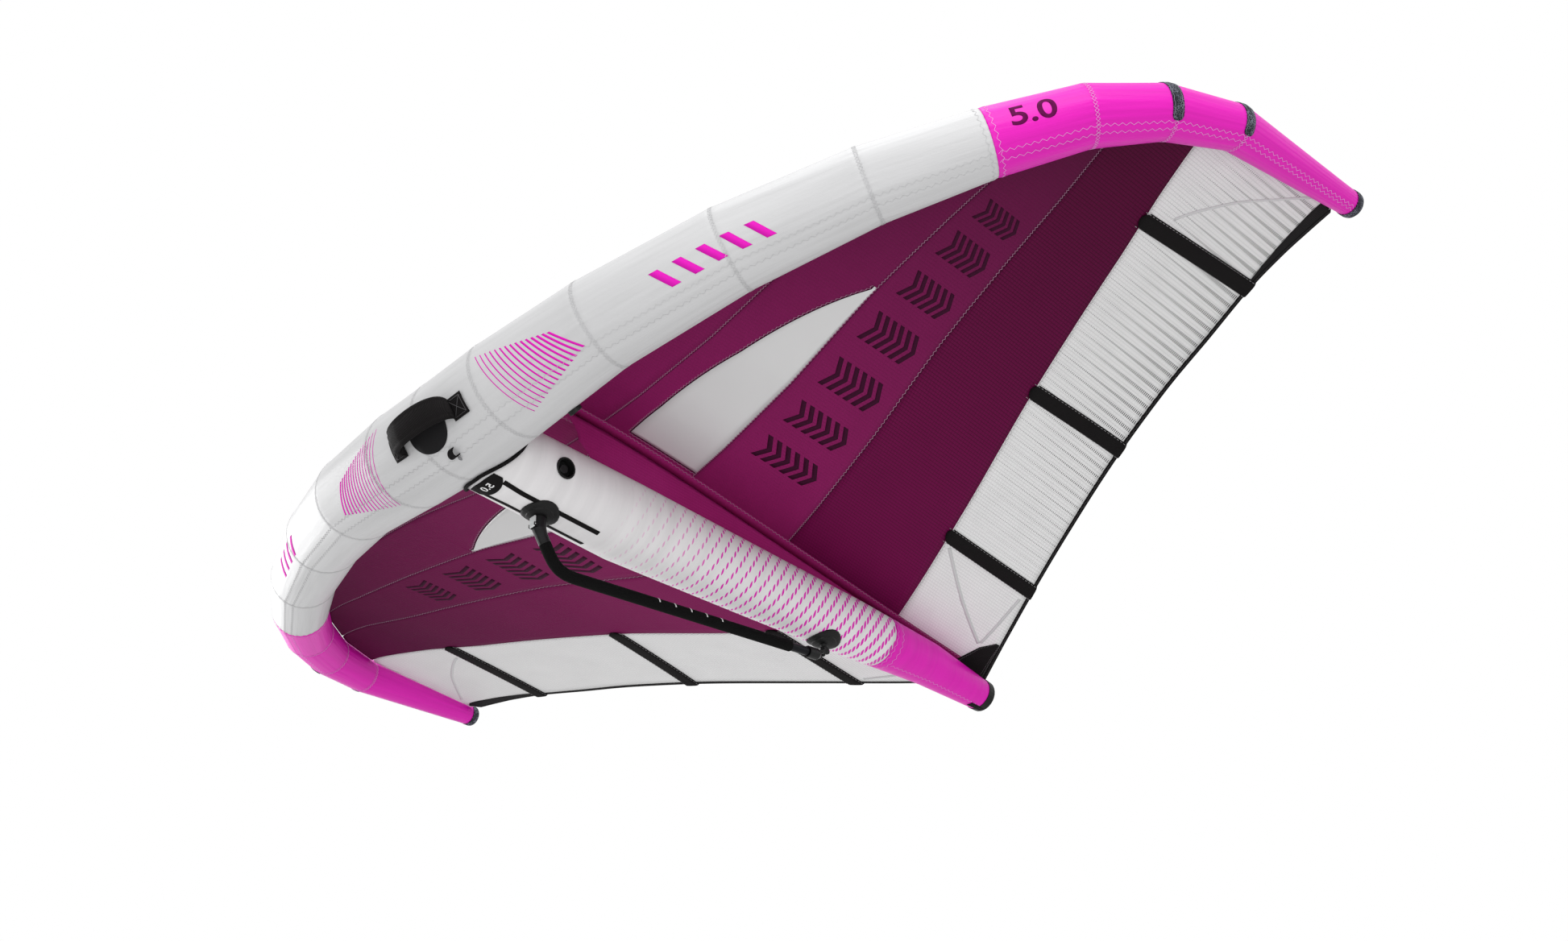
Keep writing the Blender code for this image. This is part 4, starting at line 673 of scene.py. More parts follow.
@once
def woven_black(name, base, pitch, grey):
    """Heavy woven polyester, dyed black: ribs of thread with a dull sheen, drawn coarse enough to show."""
    made, tree, shader = start(name, {"Roughness": 0.7, "Specular IOR Level": 0.08})
    _, parts = places(tree, "object")
    ribs = [thick_threads(tree, part, pitch, pitch * 0.6) for part in (parts[0], parts[1])]
    weave = add(tree, "Math", ribs, operation="ADD")
    shown = add(tree, "Math", (weave, 0.3), operation="MULTIPLY")
    face = add(tree, "Mix", {0: shown, 6: base, 7: tone(grey)}, data_type="RGBA").outputs[2]
    relief = add(tree, "Bump", {"Strength": 1.0, "Distance": 0.0004, "Height": weave})
    feed(tree, shader, {"Base Color": face, "Normal": relief})
    return made


@once
def crackled_rubber(name):
    """Rubberised wear cloth, embossed: dark slate with pale worn ridges."""
    made, tree, shader = start(name, {"Roughness": 0.55, "Specular IOR Level": 0.2})
    where, _ = places(tree, "object")
    cells = add(tree, "TexVoronoi", {"Vector": where, "Scale": 190.0}, feature="DISTANCE_TO_EDGE")
    ridges = add(tree, "MapRange", (cells, 0.02, 0.14, 1.0, 0.0))
    cloud = add(tree, "TexNoise", {"Vector": where, "Scale": 60.0, "Detail": 3.0})
    rubbed = add(tree, "MapRange", (cloud, 0.35, 0.65))
    worn = add(tree, "Math", (ridges, rubbed), operation="MULTIPLY")
    face = add(tree, "Mix", {0: worn, 6: tone("#20222b"), 7: tone("#8d90a0")}, data_type="RGBA").outputs[2]
    relief = add(tree, "Bump", {"Strength": 1.0, "Distance": 0.0007, "Height": ridges})
    feed(tree, shader, {"Base Color": face, "Normal": relief})
    return made


@once
def moulded(name, base, roughness, grain, depth):
    """Injection moulded plastic or rubber: even colour, a fine grain from the tool and dull worn places."""
    made, tree, shader = start(name, {"Specular IOR Level": 0.22})
    where, _ = places(tree, "object")
    fine = add(tree, "TexNoise", {"Vector": where, "Scale": grain, "Detail": 2.0})
    cloud = add(tree, "TexNoise", {"Vector": where, "Scale": 30.0, "Detail": 4.0})
    wear = add(tree, "MapRange", (cloud, 0.45, 0.75, 0.0, 0.3))
    lighter = tuple(min(1.0, c * 1.5 + 0.01) for c in tone(base))
    face = add(tree, "Mix", {0: wear, 6: tone(base), 7: lighter}, data_type="RGBA").outputs[2]
    dull = add(tree, "MapRange", (wear, 0.0, 0.3, roughness, roughness + 0.12))
    relief = add(tree, "Bump", {"Strength": 1.0, "Distance": depth, "Height": fine})
    feed(tree, shader, {"Base Color": face, "Roughness": dull, "Normal": relief})
    return made


@once
def foam(name):
    """EVA foam tube, closed cells: a matt black skin with fine pores."""
    made, tree, shader = start(name, {"Roughness": 0.85, "Specular IOR Level": 0.06})
    where, _ = places(tree, "object")
    pores = add(tree, "TexVoronoi", {"Vector": where, "Scale": 700.0})
    open_pores = add(tree, "MapRange", (pores, 0.1, 0.6))
    face = add(tree, "Mix", {0: open_pores, 6: tone("#050505"), 7: tone("#141414")}, data_type="RGBA").outputs[2]
    relief = add(tree, "Bump", {"Strength": 1.0, "Distance": 0.0003, "Height": pores})
    feed(tree, shader, {"Base Color": face, "Normal": relief})
    return made


@once
def anodised(name):
    """Anodised aluminium tube, drawn: dark satin with faint lines along it."""
    made, tree, shader = start(name, {"Roughness": 0.34, "Metallic": 1.0})
    where, _ = places(tree, "object")
    drawn_out = add(tree, "Mapping", {"Vector": where, "Scale": (40, 1, 40)})
    lines = add(tree, "TexNoise", {"Vector": drawn_out, "Scale": 60.0, "Detail": 3.0})
    face = add(tree, "Mix", {0: lines, 6: tone("#1a1a1c"), 7: tone("#2c2c30")}, data_type="RGBA").outputs[2]
    relief = add(tree, "Bump", {"Strength": 1.0, "Distance": 0.0001, "Height": lines})
    feed(tree, shader, {"Base Color": face, "Normal": relief})
    return made


@once
def film(name):
    """Clear PVC window film, seen against pale cloth: milky, glossy and slightly rippled."""
    made, tree, shader = start(name, {"Roughness": 0.22, "Coat Weight": 0.3})
    where, _ = places(tree, "object")
    ripple = add(tree, "TexNoise", {"Vector": where, "Scale": 5.0, "Detail": 2.0})
    base = tuple(hues().film)
    face = add(tree, "Mix", {0: ripple, 6: base, 7: shaded(base, 0.93)}, data_type="RGBA").outputs[2]
    relief = add(tree, "Bump", {"Strength": 1.0, "Distance": 0.002, "Height": ripple})
    feed(tree, shader, {"Base Color": face, "Normal": relief})
    return made


@once
def twisted_fibre(name, hex_colour):
    """Bonded polyester fibre: a soft sheen broken by its twist."""
    made, tree, shader = start(name, {"Roughness": 0.6, "Specular IOR Level": 0.12})
    where, _ = places(tree, "object")
    twist = add(tree, "TexNoise", {"Vector": where, "Scale": 500.0, "Detail": 2.0})
    base = tone(hex_colour)
    face = add(tree, "Mix", {0: twist, 6: shaded(base, 0.75), 7: base}, data_type="RGBA").outputs[2]
    feed(tree, shader, {"Base Color": face})
    return made


def thread(shade):
    return twisted_fibre("polyester thread, " + shade, THREAD_COLOURS[shade])


@once
def ink(name, base, hatched):
    """Screen printing ink on cloth: flat and a little uneven where the weave shows through."""
    made, tree, shader = start(name, {"Roughness": 0.6, "Specular IOR Level": 0.06})
    where, _ = places(tree, "object")
    cloud = add(tree, "TexNoise", {"Vector": where, "Scale": 220.0, "Detail": 3.0})
    patchy = add(tree, "MapRange", (cloud, 0.3, 0.5, 0.8 if hatched else 0.92, 1.0))
    face = add(tree, "Mix", {0: patchy, 6: shaded(base, 0.7), 7: base}, data_type="RGBA").outputs[2]
    feed(tree, shader, {"Base Color": face})
    return made


def hues():
    return bpy.context.scene.wing_colours


def black_cloth():
    return woven_black("black polyester webbing cloth", tuple(hues().black), 0.0018, "#262324")


# Pieces


def tube(bm, marks, around, surface, measure):
    """Adds an open tube through rings at given places along it."""
    steps = np.linspace(0, 1, len(marks))

    def place(along, turn):
        return surface(float(np.interp(along, steps, marks)), turn * 360)

    def flat(along, turn):
        return measure(float(np.interp(along, steps, marks)), turn)

    made = grid_onto(bm, len(marks) - 1, around, place, flat)
    bmesh.ops.remove_doubles(bm, verts=made, dist=0.00001)


def le_marks(first, last):
    """Places along the tube, close together beside each joint."""
    marks = set()
    for low in range(first, last):
        run = run_at(low + 1) - run_at(low)
        for off in (0.0, 0.003, 0.008, 0.015, 0.026, 0.042):
            marks.update((low + off / run, low + 1 - off / run))
        marks.update((low + 0.4, low + 0.6))
    return sorted(marks)


def le_skin(station, degrees):
    """The tube's skin, drawn in and puckered beside each joint."""
    joint = round(station)
    away = abs(run_at(station) - run_at(joint))
    pinch = -0.0016 * math.exp(-((away / 0.004) ** 2)) if abs(joint) < TIP_STATION else 0.0
    depth = bpy.context.scene.wing_sizes.pucker
    fold = depth * math.sin(math.radians(degrees) * 30 + joint) * math.exp(-away / 0.018)
    return le_surface(station, degrees, pinch + fold)


def le_measure(station, turn):
    return run_at(station) - LE_RUN[TIP_STATION], turn * 2 * math.pi * LE_RADIUS


def valve_hole(bm, radius, cuts):
    """Cuts a round hole for the strut valve's cup."""
    face = Vector(strut_surface(STRUT_VALVE_Y, STRUT_VALVE_DEG, 0) - ORIGIN)
    out = (face - Vector(strut_at(STRUT_VALVE_Y)[0] - ORIGIN)).normalized()

    def off_axis(place):
        away = place - face
        return (away - out * away.dot(out)).length if away.length < 0.08 else 1.0

    close = [edge for edge in bm.edges if min(off_axis(vert.co) for vert in edge.verts) < 0.04]
    bmesh.ops.subdivide_edges(bm, edges=close, cuts=cuts, use_grid_fill=True)
    gone = [one for one in bm.faces if off_axis(one.calc_center_median()) < radius]
    bmesh.ops.delete(bm, geom=gone, context="FACES")


class WING_OT_tube(bpy.types.Operator):
    """Makes the cloth of the leading edge tube, its seams and the air bags"""

    bl_idname = "wing.make_tube"
    bl_label = "Leading edge tube"

    def execute(self, context):
        grey = sailcloth("pressed polyester sailcloth, grey", tuple(hues().tube_grey), False)
        magenta = sailcloth("pressed polyester sailcloth, magenta", tuple(hues().tube_magenta), False)
        middle = ("leading_edge_centre_sleeve_right", "leading_edge_centre_sleeve_left")
        right, left = ("leading_edge_tip_sleeve_right",), ("leading_edge_tip_sleeve_left",)
        for name, first, last, finish, slot, stands_for in (
            ("tube_middle_cloth", -COLOUR_STATION, COLOUR_STATION, grey, "dacron_grey", middle),
            ("tube_tip_cloth_right", COLOUR_STATION, TIP_STATION, magenta, "dacron_magenta", right),
            ("tube_tip_cloth_left", -TIP_STATION, -COLOUR_STATION, magenta, "dacron_magenta", left),
        ):
            bm = bmesh.new()
            tube(bm, le_marks(first, last), 120, le_skin, le_measure)
            piece(name, bm, finish, slot, stands_for=stands_for, wall=SLEEVE_WALL, side=-1, round_shape=True)
        self.seams()
        self.air_bags()
        return {"FINISHED"}

    def seams(self):
        pale, lilac = thread("pale grey"), thread("lilac")
        for label, finish, first, last in (
            ("middle", pale, -COLOUR_STATION, COLOUR_STATION),
            ("tip_right", lilac, COLOUR_STATION, TIP_STATION),
            ("tip_left", lilac, -TIP_STATION, -COLOUR_STATION),
        ):
            bm = bmesh.new()
            low, run = run_at(first) + SEAM_INSET, run_at(last) - run_at(first) - 2 * SEAM_INSET
            for degrees in TUBE_SEAM_DEGREES:

                def lengthwise(along, off, degrees=degrees):
                    station = station_at(low + run * along)
                    return le_surface(station, degrees + math.degrees(off / le_radius(station)), THREAD_LIFT)

                zigzag(bm, run + 2 * SEAM_INSET, lengthwise, tube=True)
            inner = [s for s in range(first, last + 1) if abs(s) not in (TIP_STATION, COLOUR_STATION)]
            lines = [(joint, 0.0, phase) for joint in inner for phase in (1.5, -1.5)]
            ends = [(first, COLOUR_SEAM_OFF, 1), (last, -COLOUR_SEAM_OFF, 1)]
            lines += [line for line in ends if abs(line[0]) == COLOUR_STATION]
            for joint, shift, phase in lines:

                def round_joint(along, off, joint=joint, shift=shift):
                    return le_surface(station_at(run_at(joint) + shift + off), 360 * along, THREAD_LIFT)

                zigzag(bm, 2 * math.pi * le_radius(joint), round_joint, phase, tube=True)
            made = piece("tube_stitching_" + label, bm, finish, "webbing", wall=0.0004)
            made.data.shade_flat()

    def air_bags(self):
        clear = film("thermoplastic polyurethane film")
        bm = bmesh.new()
        marks = [-LE_BAG_END, *range(1 - TIP_STATION, TIP_STATION), LE_BAG_END]
        tube(bm, marks, 40, lambda station, degrees: le_surface(station, degrees, -BAG_GAP), le_measure)
        bmesh.ops.holes_fill(bm, edges=bm.edges, sides=0)
        piece("leading_edge_air_bag", bm, clear, "bladder", stands_for=("leading_edge_bladder",), round_shape=True)
        bm = bmesh.new()
        marks = [STRUT_BAG_ENDS[0], *np.linspace(0.2, 0.3, 11), *STRUT_Y[1:-1], STRUT_BAG_ENDS[1]]
        tube(bm, marks, 40, lambda y, degrees: strut_surface(y, degrees, -BAG_GAP), lambda y, turn: (turn, y))
        bmesh.ops.holes_fill(bm, edges=bm.edges, sides=0)
        valve_hole(bm, 0.026, 3)
        piece("strut_air_bag", bm, clear, "bladder", stands_for=("strut_bladder",), round_shape=True)


def panel_share(index, station, share):
    """A level inside one panel, from its front seam to its rear seam."""
    front, rear = seam_level(index - 1, station), seam_level(index, station)
    return front + (max(rear, front) - front) * share


def from_te(station, level):
    """Flat place on the canopy: metres from the middle, and metres before the trailing edge."""
    return float(canopy_point(station, level)[0]), (1 - level) * rib_length(abs(station))


def span_of(index):
    return SEAM_STATIONS[index] - END_STATION if index < len(SEAM_STATIONS) else TIP_STATION - END_STATION


class WING_OT_canopy(bpy.types.Operator):
    """Makes the canopy's panels, windows, painted tape shadows and seams"""

    bl_idname = "wing.make_canopy"
    bl_label = "Canopy"

    def execute(self, context):
        front, rear, plain, dashed = self.finishes()
        for sign, suffix in ((1, "_right"), (-1, "_left")):
            looks = (front, front, front, rear, dashed) if sign > 0 else (front, front, front, front, plain)
            slots = ("canopy_magenta",) * 3 + ("canopy_burgundy", "canopy_white")
            for index, name in enumerate(PANEL_NAMES):
                self.panel(index, name, sign, suffix, looks[index], slots[index])
            self.window(sign, suffix)
            self.tape_shadows(sign, suffix)
            self.seams(sign, suffix)
        return {"FINISHED"}

    def finishes(self):
        # The second colour of each pair, dark for the magenta, is the painted shade near the tips
        light, dark = tuple(hues().canopy_light), tuple(hues().canopy_magenta_shaded_tip)
        deep, deep_shaded_tip = tuple(hues().canopy_deep), tuple(hues().canopy_deep_shaded_tip)
        white, white_shaded_tip = tuple(hues().canopy_white), tuple(hues().canopy_white_shaded_tip)
        front = ripstop("coated ripstop nylon, magenta", light, dark, 0.12, False)
        rear = ripstop("coated ripstop nylon, burgundy", deep, deep_shaded_tip, 0.55, False)
        plain = ripstop("coated ripstop nylon, white", white, white_shaded_tip, 0.2, False)
        dashed = ripstop("coated ripstop nylon, white with printed dashes", white, white_shaded_tip, 0.2, True)
        return front, rear, plain, dashed

    def panel(self, index, name, sign, suffix, finish, slot):
        stations = np.linspace(0, 1, 61) * span_of(index)
        if name == "window":
            stations = np.unique([*stations, WINDOW_FIRST_STATION, WINDOW_LAST_STATION])
        steps = np.linspace(0, 1, len(stations))

        def spot(along, across):
            station = float(np.interp(along, steps, stations))
            if name != "window":
                return station, panel_share(index, station, across ** (1.5 if index == 0 else 1))
            low, high = panel_share(index, station, 0), panel_share(index, station, 1)
            edge = low + (high - low) * 0.6
            if WINDOW_FIRST_STATION <= station <= WINDOW_LAST_STATION:
                edge = window_edge(station)
            row = across * PANEL_ROWS
            if row <= WINDOW_ROW:
                return station, low + (edge - low) * row / WINDOW_ROW
            return station, edge + (high - edge) * (row - WINDOW_ROW) / (PANEL_ROWS - WINDOW_ROW)

        def place(along, across):
            station, level = spot(along, across)
            return canopy_point(sign * max(station, NEAR_MIDDLE), level)

        def measure(along, across):
            x, away = from_te(*spot(along, across))
            return sign * x, away

        bm = bmesh.new()
        grid_onto(bm, len(stations) - 1, PANEL_ROWS, place, measure)
        if name == "window":
            self.cut_window(bm, stations)
        stands_for = (f"canopy_{name}{suffix}",)
        made = piece(f"canopy_{name}_cloth{suffix}", bm, finish, slot, stands_for=stands_for, wall=CANOPY_THICK)
        line = [canopy_point(s, panel_share(index, s, 0.5)) for s in stations]
        width = sum(np.linalg.norm(b - a) for a, b in zip(line[:-1], line[1:]))
        depth = max((panel_share(index, s, 1) - panel_share(index, s, 0)) * rib_length(s) for s in stations)

    def cut_window(self, bm, stations):
        """Takes out the panel's faces where the window lies."""
        first, last = np.searchsorted(stations, (WINDOW_FIRST_STATION - 1e-6, WINDOW_LAST_STATION - 1e-6))
        bm.verts.index_update()
        gone = []
        for face in bm.faces:
            rows, columns = zip(*(divmod(vert.index, len(stations)) for vert in face.verts))
            if min(rows) >= WINDOW_ROW and first <= min(columns) < last:
                gone.append(face)
        bmesh.ops.delete(bm, geom=gone, context="FACES")

    def window(self, sign, suffix):
        bm = bmesh.new()

        def place(along, across):
            station = WINDOW_FIRST_STATION + (WINDOW_LAST_STATION - WINDOW_FIRST_STATION) * along
            front, rear = window_edge(station), seam_level(1, station)
            return canopy_point(sign * station, front + (rear - front) * across)

        grid_onto(bm, 48, 8, place)
        clear = film("clear vinyl window film")
        solid = "window" + suffix
        made = piece("window_film" + suffix, bm, clear, "window_film", stands_for=(solid,), wall=FILM_WALL)

    def tape_shadows(self, sign, suffix):
        """Painted shadows of reinforcement tapes on the far side of the white cloth, seen through it as pale grey
        bands.
        """
        bm = bmesh.new()
        for first, last in TAPE_SHADOW_LINES:

            def centre(share, first=first, last=last):
                station, away = (a + (b - a) * share for a, b in zip(first, last))
                return canopy_point(sign * station, 1 - away / rib_length(station), CANOPY_FACE)

            def place(along, across, centre=centre):
                ahead = unit(centre(along + 0.01) - centre(along - 0.01))
                return centre(along) + unit(np.cross(UP, ahead)) * (across - 0.5) * TAPE_SHADOW_WIDTH

            grid_onto(bm, 40, 1, place)
        # A pale grey sheet on the cloth as painted shadow of the tapes
        finish = twisted_fibre("polyester tape under white cloth", "#dcdcdd")
        piece("canopy_tape_shadows" + suffix, bm, finish, "canopy_white", wall=PRINT_WALL)

    def seams(self, sign, suffix):
        stitches, shadows = bmesh.new(), bmesh.new()
        lines = []
        for index in range(3):

            def along_seam(share, index=index):
                station = share * SEAM_STATIONS[index] * 0.995
                return station, seam_level(index, station)

            lines.append((along_seam, 0.0, 1.9))

        def front_edge(share):
            station = WINDOW_FIRST_STATION + (WINDOW_LAST_STATION - WINDOW_FIRST_STATION) * share
            return station, window_edge(station)

        for path, shift, run in [*lines, (front_edge, -WINDOW_SEAM_OFF, 1.0)]:
            shade = (0.0028, 0.006) if shift else (0.0032, 0.0045)
            for drop in (CANOPY_FACE, -CANOPY_FACE):

                def off_seam(share, off, path=path, shift=shift, drop=drop):
                    station, level = path(share)
                    level += (off + shift) / rib_length(station)
                    return canopy_point(sign * max(station, NEAR_MIDDLE), level, drop)

                zigzag(stitches, run, off_seam)
                band(shadows, 80, off_seam, *shade)
        edge, rear = window_edge(WINDOW_FIRST_STATION), seam_level(1, WINDOW_FIRST_STATION)
        for drop in (CANOPY_FACE, -CANOPY_FACE):

            def off_inner(share, off, drop=drop):
                station = WINDOW_FIRST_STATION - (WINDOW_SEAM_OFF + off) / METRES_PER_INNER_STATION
                return canopy_point(sign * station, edge + (rear - edge) * share, drop)

            zigzag(stitches, WINDOW_SIDE_SEAM, off_inner)
            band(shadows, 20, off_inner, -0.006, -0.0028)

        def off_trailing(share, off):
            station = share * SEAM_STATIONS[3] * 0.99
            level = seam_level(3, station) + (off + 0.004) / rib_length(station)
            return canopy_point(sign * max(station, NEAR_MIDDLE), level, CANOPY_FACE)

        made = piece("canopy_stitching" + suffix, stitches, thread("rose grey"), "webbing", wall=0.0003)
        made.data.shade_flat()
        dark = ink("shaded seam edge", tone("#340c25"), False)
        piece("canopy_seam_edges" + suffix, shadows, dark, "canopy_burgundy", wall=PRINT_WALL)
        bm = bmesh.new()
        zigzag(bm, 1.9, off_trailing, width=0.0008)
        piece("trailing_seam_stitching" + suffix, bm, thread("grey"), "webbing", wall=0.0002)


class WING_OT_edges(bpy.types.Operator):
    """Makes the trailing edge's tape, the corner patches, the pockets and the battens"""

    bl_idname = "wing.make_edges"
    bl_label = "Tape, patches and pockets"

    def execute(self, context):
        self.tape()
        self.clew()
        for sign, suffix in ((1, "_right"), (-1, "_left")):
            self.corner(sign, suffix)
            for share, slope, place in zip(POCKET_SHARES, POCKET_FAN_SHARES, POCKET_NAMES):
                self.pocket(share, slope, sign, place + suffix)
        return {"FINISHED"}

    def tape(self):
        last = TIP_STATION - END_STATION

        def edge(along, off, drop):
            station = (along * 2 - 1) * last
            return canopy_point(station, 1 - (TAPE_WIDTH / 2 - off) / rib_length(abs(station)), drop)

        bm = bmesh.new()
        grid_onto(bm, 240, 2, lambda along, across: edge(along, (across - 0.5) * TAPE_WIDTH, 0))
        piece("trailing_tape", bm, black_cloth(), "black_cloth", stands_for=("trailing_edge_tape",), wall=0.002)
        bm = bmesh.new()
        for drop in (0.0012, -0.0012):
            zigzag(bm, 4.0, lambda along, off, drop=drop: edge(along, off * 0.8, drop), width=0.0009)
        piece("trailing_tape_stitching", bm, thread("dark grey"), "webbing", wall=0.0002)

    def clew(self):
        def spot(along, across):
            station = (along * 2 - 1) * CLEW_STATION
            far = float(np.interp(abs(station), CLEW_MARKS, CLEW_REACHES))
            before_te = TAPE_WIDTH + OVERLAY_GAP + far * (1 - across)
            return station, 1 - before_te / rib_length(abs(station))

        bm = bmesh.new()
        grid_onto(bm, 40, 10, lambda along, across: canopy_point(*spot(along, across), PATCH_DROP))
        piece("clew_patch_cloth", bm, black_cloth(), "black_cloth", stands_for=("clew_patch",), wall=PATCH_WALL)
        bm = bmesh.new()
        for across in (0.06, 0.88, 0.95):

            def line(along, off, across=across):
                station, level = spot(along, across)
                return canopy_point(station, level + off * 0.7 / rib_length(abs(station)), PATCH_DROP + 0.0008)

            zigzag(bm, 0.45, line, width=0.0009)
        piece("clew_patch_stitching", bm, thread("mid grey"), "webbing", wall=0.0002)

    def corner(self, sign, suffix):
        first, last = (smooth(TE_HALF, s)[0] for s in (CORNER_TAPER_STATION, CORNER_LAST_STATION))

        def place(along, across):
            station = CORNER_TAPER_STATION + (CORNER_LAST_STATION - CORNER_TAPER_STATION) * along
            share = (smooth(TE_HALF, station)[0] - first) / (last - first)
            long = CORNER_EDGE_LENGTH + (CORNER_WIDE - CORNER_EDGE_LENGTH) * share
            rear = 1 - (TAPE_WIDTH + OVERLAY_GAP) / rib_length(station)
            front = max(rear - long / rib_length(station), rear * CORNER_FRONT_SHARE)
            return canopy_point(sign * station, front + (rear - front) * across, PATCH_DROP)

        bm = bmesh.new()
        grid_onto(bm, 30, 6, place)
        ribbed = woven_black("black ripstop cloth", tuple(hues().black), 0.004, "#333133")
        solid = "tip_corner_patch" + suffix
        piece("tip_corner_cloth" + suffix, bm, ribbed, "black_cloth", stands_for=(solid,), wall=PATCH_WALL)

    def pocket(self, share, slope, sign, name):
        start_x, half = share * HALF_SPAN, POCKET_WIDTH / 2

        def spot(off, before_te):
            """The canopy's station and level for a place beside the batten's line, by a short search."""
            low, high = 0.0, TIP_STATION - 0.1
            for _ in range(22):
                station = (low + high) / 2
                level = 1 - before_te / rib_length(station)
                point = canopy_point(station, level)
                if point[0] - slope * point[1] < start_x + off:
                    low = station
                else:
                    high = station
            return station, level

        def before_seam():
            low, high = 0.1, 1.4
            for _ in range(22):
                away = (low + high) / 2
                station, level = spot(0.0, away)
                if level > seam_level(3, station):
                    low = away
                else:
                    high = away
            return away

        reach = before_seam() + POCKET_LAP

        def below(off, away, drop):
            station, level = spot(off, away)
            return canopy_point(sign * station, level, CANOPY_THICK / 2 + drop)

        def sleeve(along, across):
            side = across * 2 - 1
            away = reach * (1 - along)
            end = half - math.sqrt(max(half**2 - (side * half) ** 2, 0))
            away = min(away, reach - end * (1 - min(1.0, (reach - away) / (3 * half))))
            rise = POCKET_RISE * math.sqrt(max(1 - side**4, 0)) * min(1.0, (reach - away) / 0.012 + 0.1)
            return below(side * half, away, 0.0009 + rise)

        def strip(along, across):
            away = ROD_SETBACK + (reach - 0.026) * (1 - along)
            return below((across - 0.5) * ROD_WIDTH, away, 0.0034)

        bm = bmesh.new()
        grid_onto(bm, 40, 10, sleeve)
        cloth = black_cloth()
        piece("pocket_" + name, bm, cloth, "black_cloth", stands_for=("batten_pocket_" + name,), wall=0.001)
        bm = bmesh.new()
        steps = round(reach / 0.012) * 2
        for side in (-1, 1):
            for k in range(0, steps, 2):
                first, last = reach * (1 - k / steps), reach * (1 - (k + 1.1) / steps)

                def dash(along, across, side=side, first=first, last=last):
                    away = first + (last - first) * along
                    return below(side * (half - 0.0015) + (across - 0.5) * 0.0012, max(away, 0.003), 0.0045)

                grid_onto(bm, 1, 1, dash)
        piece("pocket_stitching_" + name, bm, thread("light grey"), "webbing", wall=0.0003)
        bm = bmesh.new()
        grid_onto(bm, 24, 2, strip)
        rod = moulded("glass fibre rod, pultruded", "#c9cdb4", 0.4, 300.0, 0.0001)
        piece("rod_" + name, bm, rod, "batten", stands_for=("batten_" + name,), wall=0.002)


